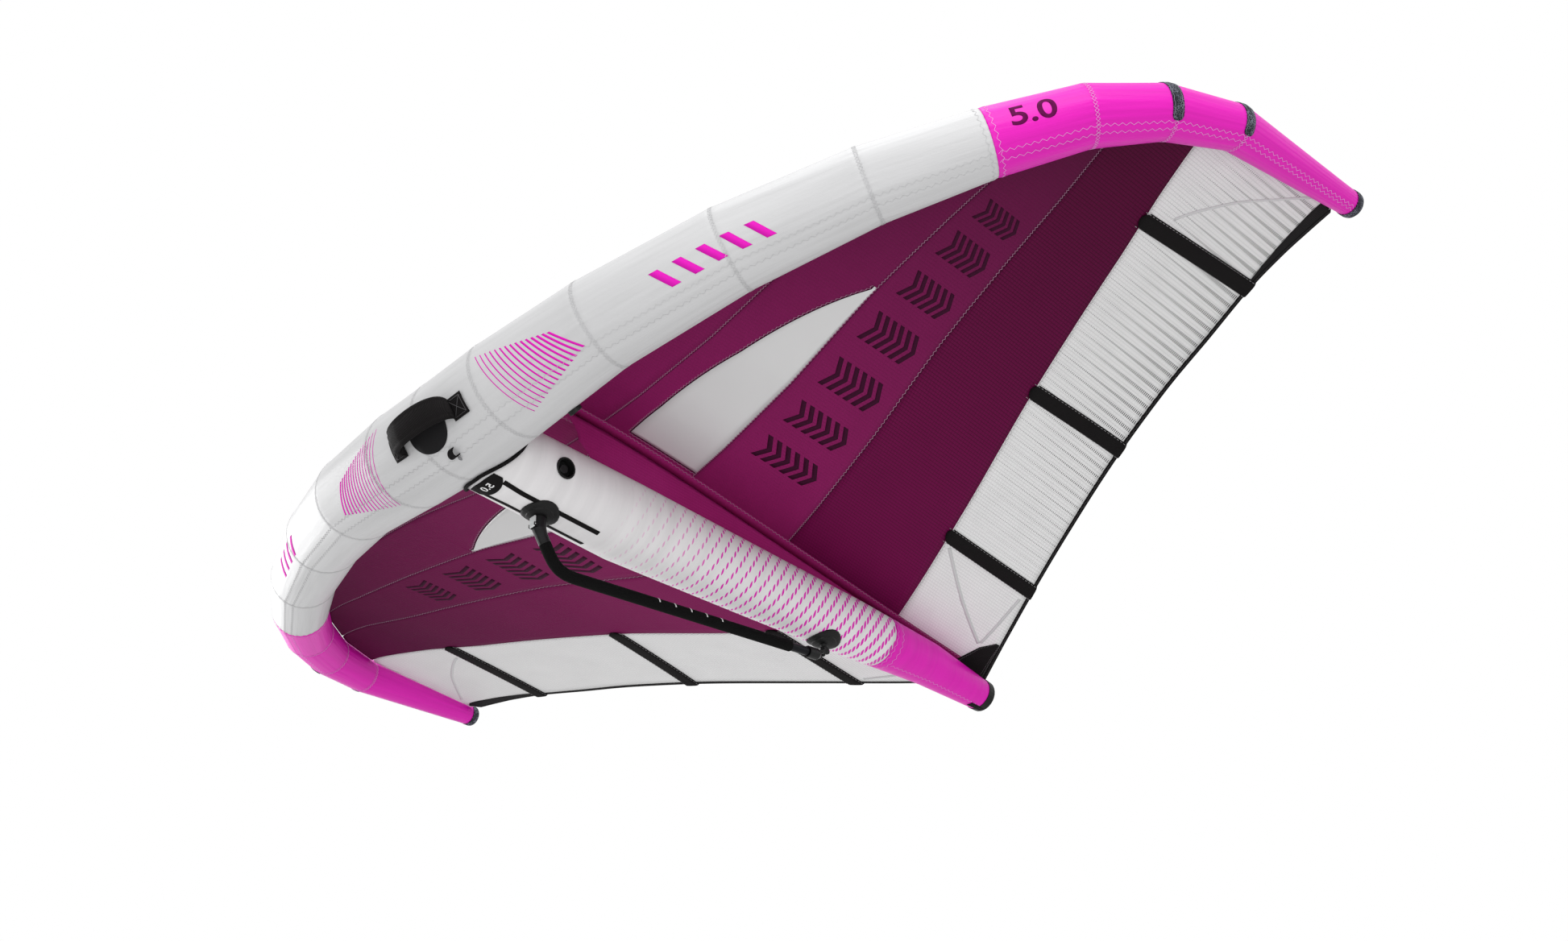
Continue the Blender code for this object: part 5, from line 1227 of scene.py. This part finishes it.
class WING_OT_strut(bpy.types.Operator):
    """Makes the strut's cloth, its straps, its patch and the web above it"""

    bl_idname = "wing.make_strut"
    bl_label = "Strut and web"

    def execute(self, context):
        self.cloth()
        self.joint_bead()
        self.straps()
        self.patch()
        self.rear_seams()
        self.web()
        return {"FINISHED"}

    def cloth(self):
        white = sailcloth("pressed polyester sailcloth, white with printed rings", tuple(hues().strut_white), True)
        magenta = sailcloth("pressed polyester sailcloth, magenta", tuple(hues().tube_magenta), False)
        fronts = {}

        def front_skin(y, degrees):
            """The strut's skin, its first ring drawn up against the leading edge."""
            if y > 0.125:
                return strut_surface(y, degrees, 0)
            key = round(degrees % 360, 3)
            if key not in fronts:
                fronts[key] = against_le(strut_surface(STRUT_Y[0], degrees, 0), OVERLAY_GAP)
            return fronts[key]

        def skin(y, degrees):
            return strut_surface(y, degrees, 0)

        def measure(y, turn):
            return (turn - 0.75) * 2 * math.pi * STRUT_RADIUS * 0.85, y

        marks = [0.1, *np.unique([*np.linspace(0.13, STRUT_SPLIT_Y, 66), *STRUT_Y[1:4]])]
        inward = {"wall": SLEEVE_WALL, "side": -1, "round_shape": True}
        bm = bmesh.new()
        tube(bm, marks, 96, front_skin, measure)
        valve_hole(bm, 0.0238, 4)
        piece("strut_front_cloth", bm, white, "dacron_white", stands_for=("strut_front_sleeve",), **inward)
        bm = bmesh.new()
        tube(bm, np.linspace(STRUT_SPLIT_Y, STRUT_Y[-1], 20), 96, skin, measure)
        piece("strut_rear_cloth", bm, magenta, "dacron_magenta", stands_for=("strut_rear_sleeve",), **inward)

    def joint_bead(self):
        path = [against_le(strut_surface(STRUT_Y[0], k * 5, BEAD_STAND), BEAD_STAND) for k in range(72)]

        def place(along, turn):
            k = round(along * 72) % 72
            ahead = unit(path[(k + 1) % 72] - path[k - 1])
            away = path[k] - np.array((0.0, path[k][1], STRUT_Z[0]))
            out = unit(away - ahead * np.dot(away, ahead))
            angle = turn * 2 * math.pi
            return path[k] + BEAD_RADIUS * (math.cos(angle) * out + math.sin(angle) * np.cross(ahead, out))

        bm = bmesh.new()
        grid_onto(bm, 72, 12, place)
        cloth = black_cloth()
        piece("joint_bead", bm, cloth, "black_cloth", stands_for=("strut_joint_binding",), round_shape=True)

    def straps(self):
        for sign, suffix in ((1, "right"), (-1, "left")):

            def place(along, across, sign=sign):
                y = STRAP_ENDS[0] + (STRAP_ENDS[1] - STRAP_ENDS[0]) * along
                x = STRAP_X + (across - 0.5) * STRAP_WIDTH + 0.004 * min(1, max(0, 0.2 - along) * 5)
                return strut_surface(y, 270 - sign * math.degrees(math.asin(x / strut_at(y)[1])), 0.0008)

            bm = bmesh.new()
            grid_onto(bm, 40, 3, place)
            piece("strut_strap_" + suffix, bm, black_cloth(), "webbing", wall=PATCH_WALL)

    def patch(self):
        starts = {}

        def place(along, across):
            side = across * 2 - 1
            degrees = 270 + side * STRUT_PATCH_DEG
            key = round(side, 4)
            if key not in starts:
                starts[key] = against_le(strut_surface(STRUT_Y[0], degrees, 0.0012), 0.0095)[1]
            reach = STRUT_PATCH_LENGTH * (1 - 0.5 * abs(side) ** 2.6)
            return strut_surface(starts[key] + reach * along, degrees, 0.0021)

        bm = bmesh.new()
        grid_onto(bm, 10, 24, place)
        stands_for = ("strut_front_patch",)
        piece("strut_patch_cloth", bm, black_cloth(), "black_cloth", stands_for=stands_for, wall=PATCH_WALL)

    def rear_seams(self):
        bm = bmesh.new()
        for shift in (0.008, 0.03):

            def ring(along, off, shift=shift):
                return strut_surface(STRUT_SPLIT_Y + shift + off, 360 * along, THREAD_LIFT)

            zigzag(bm, 0.42, ring, tube=True)

        def lengthwise(along, off):
            y = STRUT_SPLIT_Y + 0.04 + (1.77 - STRUT_SPLIT_Y) * along
            return strut_surface(y, TAIL_SEAM_DEG + math.degrees(off / strut_at(y)[1]), THREAD_LIFT)

        zigzag(bm, 0.4, lengthwise, tube=True)
        made = piece("strut_stitching", bm, thread("lilac"), "webbing", wall=0.0003)
        made.data.shade_flat()

        def tab(along, across):
            return strut_surface(1.775 + 0.05 * along, TAIL_SEAM_DEG + 22 * across, 0.0012)

        bm = bmesh.new()
        grid_onto(bm, 8, 6, tab)
        piece("strut_tail_tab", bm, black_cloth(), "webbing", wall=0.0014)

    def web(self):
        # Painted light: the web is the front panels' cloth, given a lighter magenta to stand for light it does not
        # get under the canopy
        cloth = ripstop("coated ripstop nylon, web", tone("#b32a7c"), tone("#952065"), 0.12, False)
        profile = np.array([canopy_point(NEAR_MIDDLE, level) for level in np.linspace(0, 1, 240)])
        end = CHORD * WEB_END_SHARE

        def front(v):
            straight = CHORD * (WEB_FOOT_SHARE + (WEB_HEAD_SHARE - WEB_FOOT_SHARE) * v)
            return straight + 0.012 * abs(math.sin(2 * math.pi * v))

        def place(along, v):
            y = front(v) + (end - front(v)) * along
            centre, radius = strut_at(y)
            low = centre[2] + radius + GAP
            high = float(np.interp(y, profile[:, 1], profile[:, 2])) - CANOPY_THICK / 2 - GAP
            return np.array((0.0, y, low + (high - low) * v))

        def measure(along, v):
            point = place(along, v)
            return float(point[2]), float(point[1])

        bm = bmesh.new()
        grid_onto(bm, 70, 12, place, measure)
        made = piece("web_cloth", bm, cloth, "canopy_magenta", stands_for=("web",), wall=PATCH_WALL)
        strips, stitches = bmesh.new(), bmesh.new()
        front_x, rear_x = rib(1.0)[0][0], rib(1.0)[1][0]
        for sign in (-1, 1):

            def head(along, off, sign=sign):
                level = 0.11 + (0.975 - 0.11) * along
                station = (0.0012 + off) / (front_x + (rear_x - front_x) * level)
                return canopy_point(sign * max(station, NEAR_MIDDLE), level, CANOPY_THICK / 2 + 0.0006)

            band(strips, 90, head, 0.0, WEB_HEAD_WIDTH)
            zigzag(stitches, 1.6, lambda along, off, head=head: head(along, 0.027 + off) - UP * 0.0006)
        piece("web_head_strips", strips, cloth, "canopy_magenta", wall=0.0006)
        made = piece("web_head_stitching", stitches, thread("rose grey"), "webbing", wall=0.0003)
        made.data.shade_flat()


def on_le_front(x, across, stand):
    station = float(np.interp(x, LE_POINTS[:, 0], LE_STATIONS))
    return le_surface(station, HANDLE_DEG + math.degrees(across / le_radius(station)), stand)


class WING_OT_handle(bpy.types.Operator):
    """Makes the padded handle, its pad and anchors, and the leash loop"""

    bl_idname = "wing.make_handle"
    bl_label = "Handle and leash loop"

    def execute(self, context):
        webbing = woven_black("black nylon webbing", tuple(hues().black), 0.0024, "#282526")
        self.grip(webbing)
        self.pad()
        self.anchors(webbing)
        self.leash(webbing)
        return {"FINISHED"}

    def grip(self, webbing):
        half = HANDLE_LENGTH / 2
        path, thick = [], []
        for s in np.linspace(0, 1, 41):
            rise = HANDLE_HEIGHT * max(math.sin(math.pi * s), 0) ** HANDLE_CURVE_SHARE
            path.append((-half * math.cos(math.pi * s), rise))
            thick.append(HANDLE_THICK + (HANDLE_PAD_THICK - HANDLE_THICK) * min(1, 6 * s, 6 * (1 - s)) ** 0.5)
        tabs = [(half + HANDLE_TAB / 2, 0), (half + HANDLE_TAB, 0)]
        path = np.array([(-x, rise) for x, rise in tabs[::-1]] + path + tabs)
        thick = [HANDLE_THICK] * 2 + thick + [HANDLE_THICK] * 2
        count = len(path)

        def place(along, turn):
            k = round(along * (count - 1))
            ahead = unit(path[min(k + 1, count - 1)] - path[max(k - 1, 0)])
            away = np.array((-ahead[1], ahead[0]))
            angle = turn * 2 * math.pi
            across = HANDLE_WIDTH / 2 * math.copysign(abs(math.cos(angle)) ** 0.45, math.cos(angle))
            up = 0.5 + 0.5 * math.copysign(abs(math.sin(angle)) ** 0.8, math.sin(angle))
            ridge = 1 + 0.07 * math.cos(across / HANDLE_WIDTH * 2 * math.pi * 5) * (thick[k] > 0.006)
            x, rise = path[k] + away * thick[k] * up * ridge
            lean = -HANDLE_LEAN * max(path[k][1], 0) / HANDLE_HEIGHT
            return on_le_front(HANDLE_X + x, across + lean, OVERLAY_GAP + max(rise, 0.0))

        bm = bmesh.new()
        grid_onto(bm, count - 1, 40, place)
        bmesh.ops.remove_doubles(bm, verts=bm.verts, dist=0.00001)
        bmesh.ops.holes_fill(bm, edges=bm.edges, sides=0)
        made = piece("handle_webbing", bm, webbing, "webbing", stands_for=("handle_strap",), round_shape=True)

    def pad(self):
        def place(along, across):
            u, v = along * 2 - 1, across * 2 - 1
            x, y = u * math.sqrt(1 - v * v / 2), v * math.sqrt(1 - u * u / 2)
            crown = 0.0035 * (1 - (x * x + y * y) ** 2)
            return on_le_front(HANDLE_X + x * PAD_LENGTH / 2, y * PAD_WIDTH / 2, OVERLAY_GAP + 0.0008 + crown)

        bm = bmesh.new()
        grid_onto(bm, 20, 20, place)
        neoprene = moulded("neoprene pad with a knit face", "#121113", 0.75, 500.0, 0.0004)
        made = piece("handle_pad_cloth", bm, neoprene, "black_cloth", stands_for=("handle_pad",), wall=0.0015)

    def anchors(self, webbing):
        top = OVERLAY_GAP + HANDLE_THICK
        patches, stitches = bmesh.new(), bmesh.new()
        corners = ((-1, -1), (1, -1), (1, 1), (-1, 1), (-1, -1), (1, 1), (-1, 1), (1, -1))
        for sign in (-1, 1):
            middle = HANDLE_X + sign * (HANDLE_LENGTH / 2 + HANDLE_TAB / 2)

            def square(along, across, middle=middle):
                return on_le_front(middle + (along - 0.5) * 0.04, (across - 0.5) * 0.05, top + 0.0012)

            grid_onto(patches, 6, 6, square)
            for (ax, ay), (bx, by) in zip(corners[:-1], corners[1:]):

                def cross(along, across, middle=middle, ax=ax, ay=ay, bx=bx, by=by):
                    x, y = ax + (bx - ax) * along, ay + (by - ay) * along
                    side = unit(np.array((-(by - ay), bx - ax, 0.0))) * (across - 0.5) * 0.0012
                    return on_le_front(middle + x * 0.015 + side[0], y * 0.019 + side[1], top + 0.0022)

                grid_onto(stitches, 4, 1, cross)
        piece("handle_anchor_patches", patches, webbing, "webbing", wall=PATCH_WALL)
        piece("handle_anchor_stitching", stitches, thread("dark grey"), "webbing", wall=0.0003)

    def leash(self, webbing):
        base = math.radians(LEASH_DEG - HANDLE_DEG) * LE_RADIUS

        def loop(along, across):
            turn = math.pi * along
            rise = OVERLAY_GAP + 0.001 + LEASH_HEIGHT * math.sin(turn)
            return on_le_front(LEASH_X + LEASH_WIDTH * across, base - LEASH_REACH * math.cos(turn), rise)

        def cord_end(along, turn):
            angle = turn * 2 * math.pi
            radius = 0.0032 * math.sin(math.pi * min(max(along, 0.0), 1.0)) ** 0.5
            x = LEASH_X + 0.007 + radius * math.cos(angle)
            across = base + LEASH_REACH + 0.002 + 0.012 * along
            return on_le_front(x, across, 0.006 + radius * math.sin(angle))

        bm = bmesh.new()
        grid_onto(bm, 24, 4, loop)
        piece("leash_webbing", bm, webbing, "webbing", stands_for=("leash_loop",), wall=0.0018)
        bm = bmesh.new()
        grid_onto(bm, 12, 12, cord_end)
        grey = twisted_fibre("braided polyester cord, grey", "#8b8b8d")
        piece("leash_cord_end", bm, grey, "webbing", round_shape=True)


class WING_OT_fittings(bpy.types.Operator):
    """Makes the wear patches, tip caps and boom, and finishes the moulded fittings"""

    bl_idname = "wing.make_fittings"
    bl_label = "Boom, caps and valves"

    def execute(self, context):
        for sign, suffix in ((1, "_right"), (-1, "_left")):
            self.cap(sign, suffix)
            for station, place in zip(PATCH_STATIONS, ("inner", "outer")):
                self.wear_patch(station, sign, place + suffix)
        rubber = moulded("moulded rubber", "#131313", 0.45, 300.0, 0.0002)
        plastic = moulded("moulded nylon, black", "#161617", 0.34, 400.0, 0.0001)
        grey = moulded("moulded nylon, pale grey", "#cfd1d1", 0.42, 400.0, 0.0001)
        looks = {
            "boom_front_base": rubber,
            "boom_rear_base": rubber,
            "strut_tail_cap": rubber,
            "strut_valve_body": rubber,
            "strut_valve_lid": plastic,
            "leading_edge_valve_body": plastic,
            "leading_edge_valve_lid": plastic,
            "boom_front_socket": plastic,
            "boom_rear_fitting": plastic,
            "boom_latch": grey,
            "boom_tube": anodised("anodised aluminium tube, black"),
        }
        for name, finish in looks.items():
            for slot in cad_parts[name].material_slots:
                slot.material = finish
        self.boom()
        return {"FINISHED"}

    def cap(self, sign, suffix):
        tip, ahead = LE_HALF[-1], unit(LE_HALF[-1] - LE_HALF[-2])
        side = unit(np.cross(UP, ahead))
        top = np.cross(ahead, side)
        hold = LE_RADII[-1] + GAP + CAP_WALL
        steps = np.linspace(0, 1, len(CAP_HEIGHT_SHARES))

        def place(share, turn):
            height = np.interp(share, steps, CAP_HEIGHT_SHARES) * CAP_LENGTH
            radius = np.interp(share, steps, CAP_RADIUS_SHARES) * hold
            angle = turn * 2 * math.pi
            point = tip + ahead * height + radius * (math.cos(angle) * side + math.sin(angle) * top)
            return mirrored(point) if sign < 0 else point

        bm = bmesh.new()
        grid_onto(bm, 21, 48, place)
        rubber = crackled_rubber("embossed wear rubber")
        solid = "tip_cap" + suffix
        piece("tip_cap_cover" + suffix, bm, rubber, "black_rubber", stands_for=(solid,), round_shape=True)

    def wear_patch(self, station, sign, name):
        low, high = PATCH_DEGREES

        def spot(off, degrees, stand):
            return le_surface(sign * station_at(run_at(station) + off), degrees, GAP + stand)

        def place(along, across):
            side = across * 2 - 1
            round_off = 10 * (1 - math.sqrt(max(1 - side**2, 0)))
            return spot(side * PATCH_WIDTH / 2, low + (high - round_off - low) * along, 0.0008)

        bm = bmesh.new()
        grid_onto(bm, 30, 8, place)
        rubber = crackled_rubber("embossed wear rubber")
        solid = "wear_patch_" + name
        piece("wear_patch_cover_" + name, bm, rubber, "black_cloth", stands_for=(solid,), wall=PATCH_WALL)
        bm = bmesh.new()
        for side in (-0.72, 0.72):

            def edge(along, off, side=side):
                return spot(side * PATCH_WIDTH / 2 + off * 0.5, low + (high - 5 - low) * along, 0.0016)

            zigzag(bm, 0.12, edge, width=0.001)
        piece("wear_patch_stitching_" + name, bm, thread("silver grey"), "webbing", wall=0.0002)

    def boom(self):
        path = [*BOOM_PATH[:-1], BOOM_PATH[-2] + (BOOM_PATH[-1] - BOOM_PATH[-2]) * GRIP_END_SHARE]
        path = bent_round(path)
        around = frames_along(path, RIGHT)
        count = len(path) - 1
        radius = BOOM_RADIUS + GAP + GRIP_WALL

        def skin(along, turn):
            k, angle = round(along * count), turn * 2 * math.pi
            side, top = around[k]
            return path[k] + radius * (math.cos(angle) * side + math.sin(angle) * top)

        bm = bmesh.new()
        grid_onto(bm, count, 40, skin)
        grip = foam("foam grip, closed cell")
        piece("boom_foam", bm, grip, "grip_foam", "boom", ("boom_grip",), GRIP_WALL, -1, True)
        self.marks(path[-2], path[-1], radius)

    def marks(self, first, last, radius):
        """Plain pale marks across the grip, at even distances."""
        ahead = unit(last - first)
        top = unit(np.cross(RIGHT, ahead))
        bm = bmesh.new()
        for k in range(5):
            y = MARK_FIRST_Y + MARK_PITCH * k
            centre = first + (last - first) * (y - first[1]) / (last[1] - first[1])

            def mark(along, across, centre=centre):
                angle = math.radians(-5 + 62 * along)
                out = math.cos(angle) * RIGHT + math.sin(angle) * top
                return centre + ahead * (across - 0.5) * 0.004 + (radius + 0.0002) * out

            grid_onto(bm, 10, 1, mark)
        white = ink("white printed mark", tone("#e8e8e8"), False)
        piece("boom_marks", bm, white, "grip_foam", "boom", wall=0.0002)


def letters(text, size):
    """A flat mesh of plain numerals, cut fine enough to bend."""
    curve = bpy.data.curves.new("numerals", "FONT")
    curve.body = text
    curve.size = size
    curve.offset = size / 60
    curve.align_x = "CENTER"
    curve.align_y = "CENTER"
    holder = bpy.data.objects.new("numerals", curve)
    bpy.context.scene.collection.objects.link(holder)
    bpy.context.view_layer.update()
    mesh = bpy.data.meshes.new_from_object(holder)
    bm = bmesh.new()
    bm.from_mesh(mesh)
    bpy.data.objects.remove(holder)
    bpy.data.meshes.remove(mesh)
    for axis in ((1, 0, 0), (0, 1, 0)):
        for k in range(-14, 15):
            where = Vector(axis) * k * size / 14 * (2 if axis[0] else 1)
            geom = [*bm.verts, *bm.edges, *bm.faces]
            bmesh.ops.bisect_plane(bm, geom=geom, dist=0.00001, plane_co=where, plane_no=axis)
    return bm


class WING_OT_prints(bpy.types.Operator):
    """Prints plain stripe bands, hatched bars and size numerals on the cloth"""

    bl_idname = "wing.make_prints"
    bl_label = "Prints"

    def execute(self, context):
        self.tube_bands()
        self.canopy_bars()
        self.numerals()
        return {"FINISHED"}

    def tube_bands(self):
        bm = bmesh.new()

        def stripe(x, width, low, high, lean):
            def place(along, across):
                at = x + lean * (along - 0.5) + width * (across - 0.5)
                station = float(np.interp(at, LE_POINTS[:, 0], LE_STATIONS))
                return le_surface(station, low + (high - low) * along, PRINT_LIFT)

            grid_onto(bm, 20, 1, place)

        for sign in (1, -1):
            for k in range(15):
                x = HANDLE_X + sign * (0.19 + 0.0125 * k)
                stripe(x, 0.002 + 0.0003 * k, 176 + 2 * k, 268 - 2 * k, sign * 0.05)
        for k in range(5):
            stripe(0.62 + 0.05 * k, 0.02, 205, 232, 0.03)
        for k in range(4):
            stripe(-0.72 - 0.05 * k, 0.018, 200, 226, -0.03)
        magenta = ink("magenta printing ink", tuple(hues().print_magenta), False)
        piece("tube_printed_bands", bm, magenta, "dacron_magenta", wall=PRINT_WALL)

    def canopy_bars(self):
        """Rows of hatched chevrons on the middle panels: more of them and closer on the right."""
        bm = bmesh.new()
        for sign, first, count, pitch, wide in ((1, 1.1, 7, 0.52, 0.3), (-1, 2.2, 4, 0.6, 0.34)):
            for start_at in (first + pitch * k for k in range(count)):
                for line in range(6):

                    def bar(along, across, sign=sign, start_at=start_at, line=line, wide=wide):
                        station = start_at + wide * along
                        share = 0.28 + 0.1 * line + 0.055 * across - 0.16 * abs(along - 0.5)
                        level = panel_share(2, station, share)
                        return canopy_point(sign * station, level, CANOPY_THICK / 2 + 0.0002)

                    grid_onto(bm, 8, 1, bar)
        burgundy = ink("dark burgundy printing ink", tone("#3a0d29"), True)
        piece("canopy_printed_bars", bm, burgundy, "canopy_burgundy", wall=PRINT_WALL)

    def numerals(self):
        bm = letters(SIZE_NUMERAL, TUBE_NUMERAL_SIZE)
        run = run_at(COLOUR_STATION) + TUBE_NUMERAL_OFF
        for vert in bm.verts:
            station = station_at(run + vert.co.x)
            degrees = TUBE_NUMERAL_DEG - math.degrees(vert.co.y * 0.8 / le_radius(station))
            vert.co = Vector(le_surface(station, degrees, 0.0004) - ORIGIN)
        plum = ink("plum printing ink", tone("#5f0b48"), False)
        piece("tube_size_numerals", bm, plum, "dacron_magenta", wall=PRINT_WALL)
        bm = letters(SIZE_NUMERAL, STRUT_NUMERAL_SIZE)
        radius = strut_at(PATCH_MIDDLE_Y)[1]
        for vert in bm.verts:
            degrees = 270 + math.degrees(vert.co.x / radius)
            vert.co = Vector(strut_surface(PATCH_MIDDLE_Y - vert.co.y, degrees, 0.0031) - ORIGIN)
        white = ink("white printing ink", tone("#ededed"), False)
        piece("strut_size_numerals", bm, white, "dacron_white", wall=PRINT_WALL)


class WING_OT_stage(bpy.types.Operator):
    """Makes the pale floor, the soft lights and the camera"""

    bl_idname = "wing.make_stage"
    bl_label = "Stage"

    def execute(self, context):
        self.floor()
        self.world()
        self.lights()
        self.camera(context)
        return {"FINISHED"}

    def floor(self):
        bm = bmesh.new()
        bmesh.ops.create_grid(bm, x_segments=1, y_segments=1, size=70)
        bmesh.ops.translate(bm, verts=bm.verts, vec=(0, 0, -5.2))
        mesh = bpy.data.meshes.new("floor")
        bm.to_mesh(mesh)
        bm.free()
        made, tree, shader = start("pale painted floor", {"Roughness": 0.8})
        cloud = add(tree, "TexNoise", {"Vector": places(tree, "object")[0], "Scale": 0.4, "Detail": 3.0})
        face = add(tree, "Mix", {0: cloud, 6: tone("#f4f4f4"), 7: tone("#f0f0f0")}, data_type="RGBA").outputs[2]
        feed(tree, shader, {"Base Color": face})
        mesh.materials.append(made)
        floor = bpy.data.objects.new("floor", mesh)
        bpy.context.scene.collection.objects.link(floor)

    def world(self):
        """Soft light from all round; the camera and reflections see it as white."""
        world = bpy.data.worlds.new("studio")
        bpy.context.scene.world = world
        world.use_nodes = True
        tree = world.node_tree
        lit = tree.nodes["Background"]
        feed(tree, lit, {"Color": (1, 1, 1, 1), "Strength": 0.74})
        seen = add(tree, "Background", {"Color": (1, 1, 1, 1), "Strength": 1.0})
        ray = add(tree, "LightPath").outputs
        shown = ray["Is Camera Ray"]
        for kind in ("Is Glossy Ray", "Is Transmission Ray"):
            shown = add(tree, "Math", (shown, ray[kind]), operation="MAXIMUM")
        mixed = add(tree, "MixShader", (shown, lit, seen))
        feed(tree, tree.nodes["World Output"], {"Surface": mixed})

    def lights(self):
        for name, place, size, watts in (
            ("key light", (3.2, -2.1, 2.1), 3.0, 60),
            ("top light", (0.7, -1.0, 4.4), 2.4, 40),
            ("low light", (2.8, -2.8, -1.9), 2.0, 30),
            ("rim light", (-4.0, -1.0, 1.0), 3.0, 90),
        ):
            data = bpy.data.lights.new(name, "AREA")
            data.shape = "DISK"
            data.size = size
            data.energy = watts
            lamp = bpy.data.objects.new(name, data)
            bpy.context.scene.collection.objects.link(lamp)
            lamp.location = place
            lamp.visible_camera = False
            lamp.rotation_mode = "QUATERNION"
            lamp.rotation_quaternion = (-Vector(place)).to_track_quat("-Z", "Y")

    def camera(self, context):
        data = bpy.data.cameras.new("camera")
        data.sensor_width = 36
        data.lens = 46.37
        data.clip_end = 200
        camera = bpy.data.objects.new("camera", data)
        context.scene.collection.objects.link(camera)
        right = Vector((0.70858, 0.70485, -0.03317))
        down = Vector((-0.42944, 0.39346, -0.81287))
        ahead = Vector((-0.55990, 0.59023, 0.58149))
        turned = Matrix((right, -down, -ahead)).transposed().to_4x4()
        camera.matrix_world = Matrix.Translation((3.0302, -2.8196, -2.5478)) @ turned
        context.scene.camera = camera
        context.scene.view_settings.view_transform = "Standard"


class WING_PT_panel(bpy.types.Panel):
    bl_label = "Inflatable hand wing"
    bl_idname = "WING_PT_panel"
    bl_space_type = "VIEW_3D"
    bl_region_type = "UI"
    bl_category = "Wing"

    def draw(self, context):
        for group in (context.scene.wing_colours, context.scene.wing_sizes):
            for name in group.__annotations__:
                self.layout.prop(group, name)
        for operator in OPERATORS:
            self.layout.operator(operator.bl_idname)


OPERATORS = (
    WING_OT_tube,
    WING_OT_canopy,
    WING_OT_edges,
    WING_OT_strut,
    WING_OT_handle,
    WING_OT_fittings,
    WING_OT_prints,
    WING_OT_stage,
)
CLASSES = (WingColours, WingSizes, *OPERATORS, WING_PT_panel)


def register():
    for one in CLASSES:
        bpy.utils.register_class(one)
    bpy.types.Scene.wing_colours = bpy.props.PointerProperty(type=WingColours)
    bpy.types.Scene.wing_sizes = bpy.props.PointerProperty(type=WingSizes)


def unregister():
    del bpy.types.Scene.wing_colours
    del bpy.types.Scene.wing_sizes
    for one in reversed(CLASSES):
        bpy.utils.unregister_class(one)


def main():
    register()
    bpy.ops.wing.make_tube()
    bpy.ops.wing.make_canopy()
    bpy.ops.wing.make_edges()
    bpy.ops.wing.make_strut()
    bpy.ops.wing.make_handle()
    bpy.ops.wing.make_fittings()
    bpy.ops.wing.make_prints()
    bpy.ops.wing.make_stage()


if __name__ == "__main__":
    main()
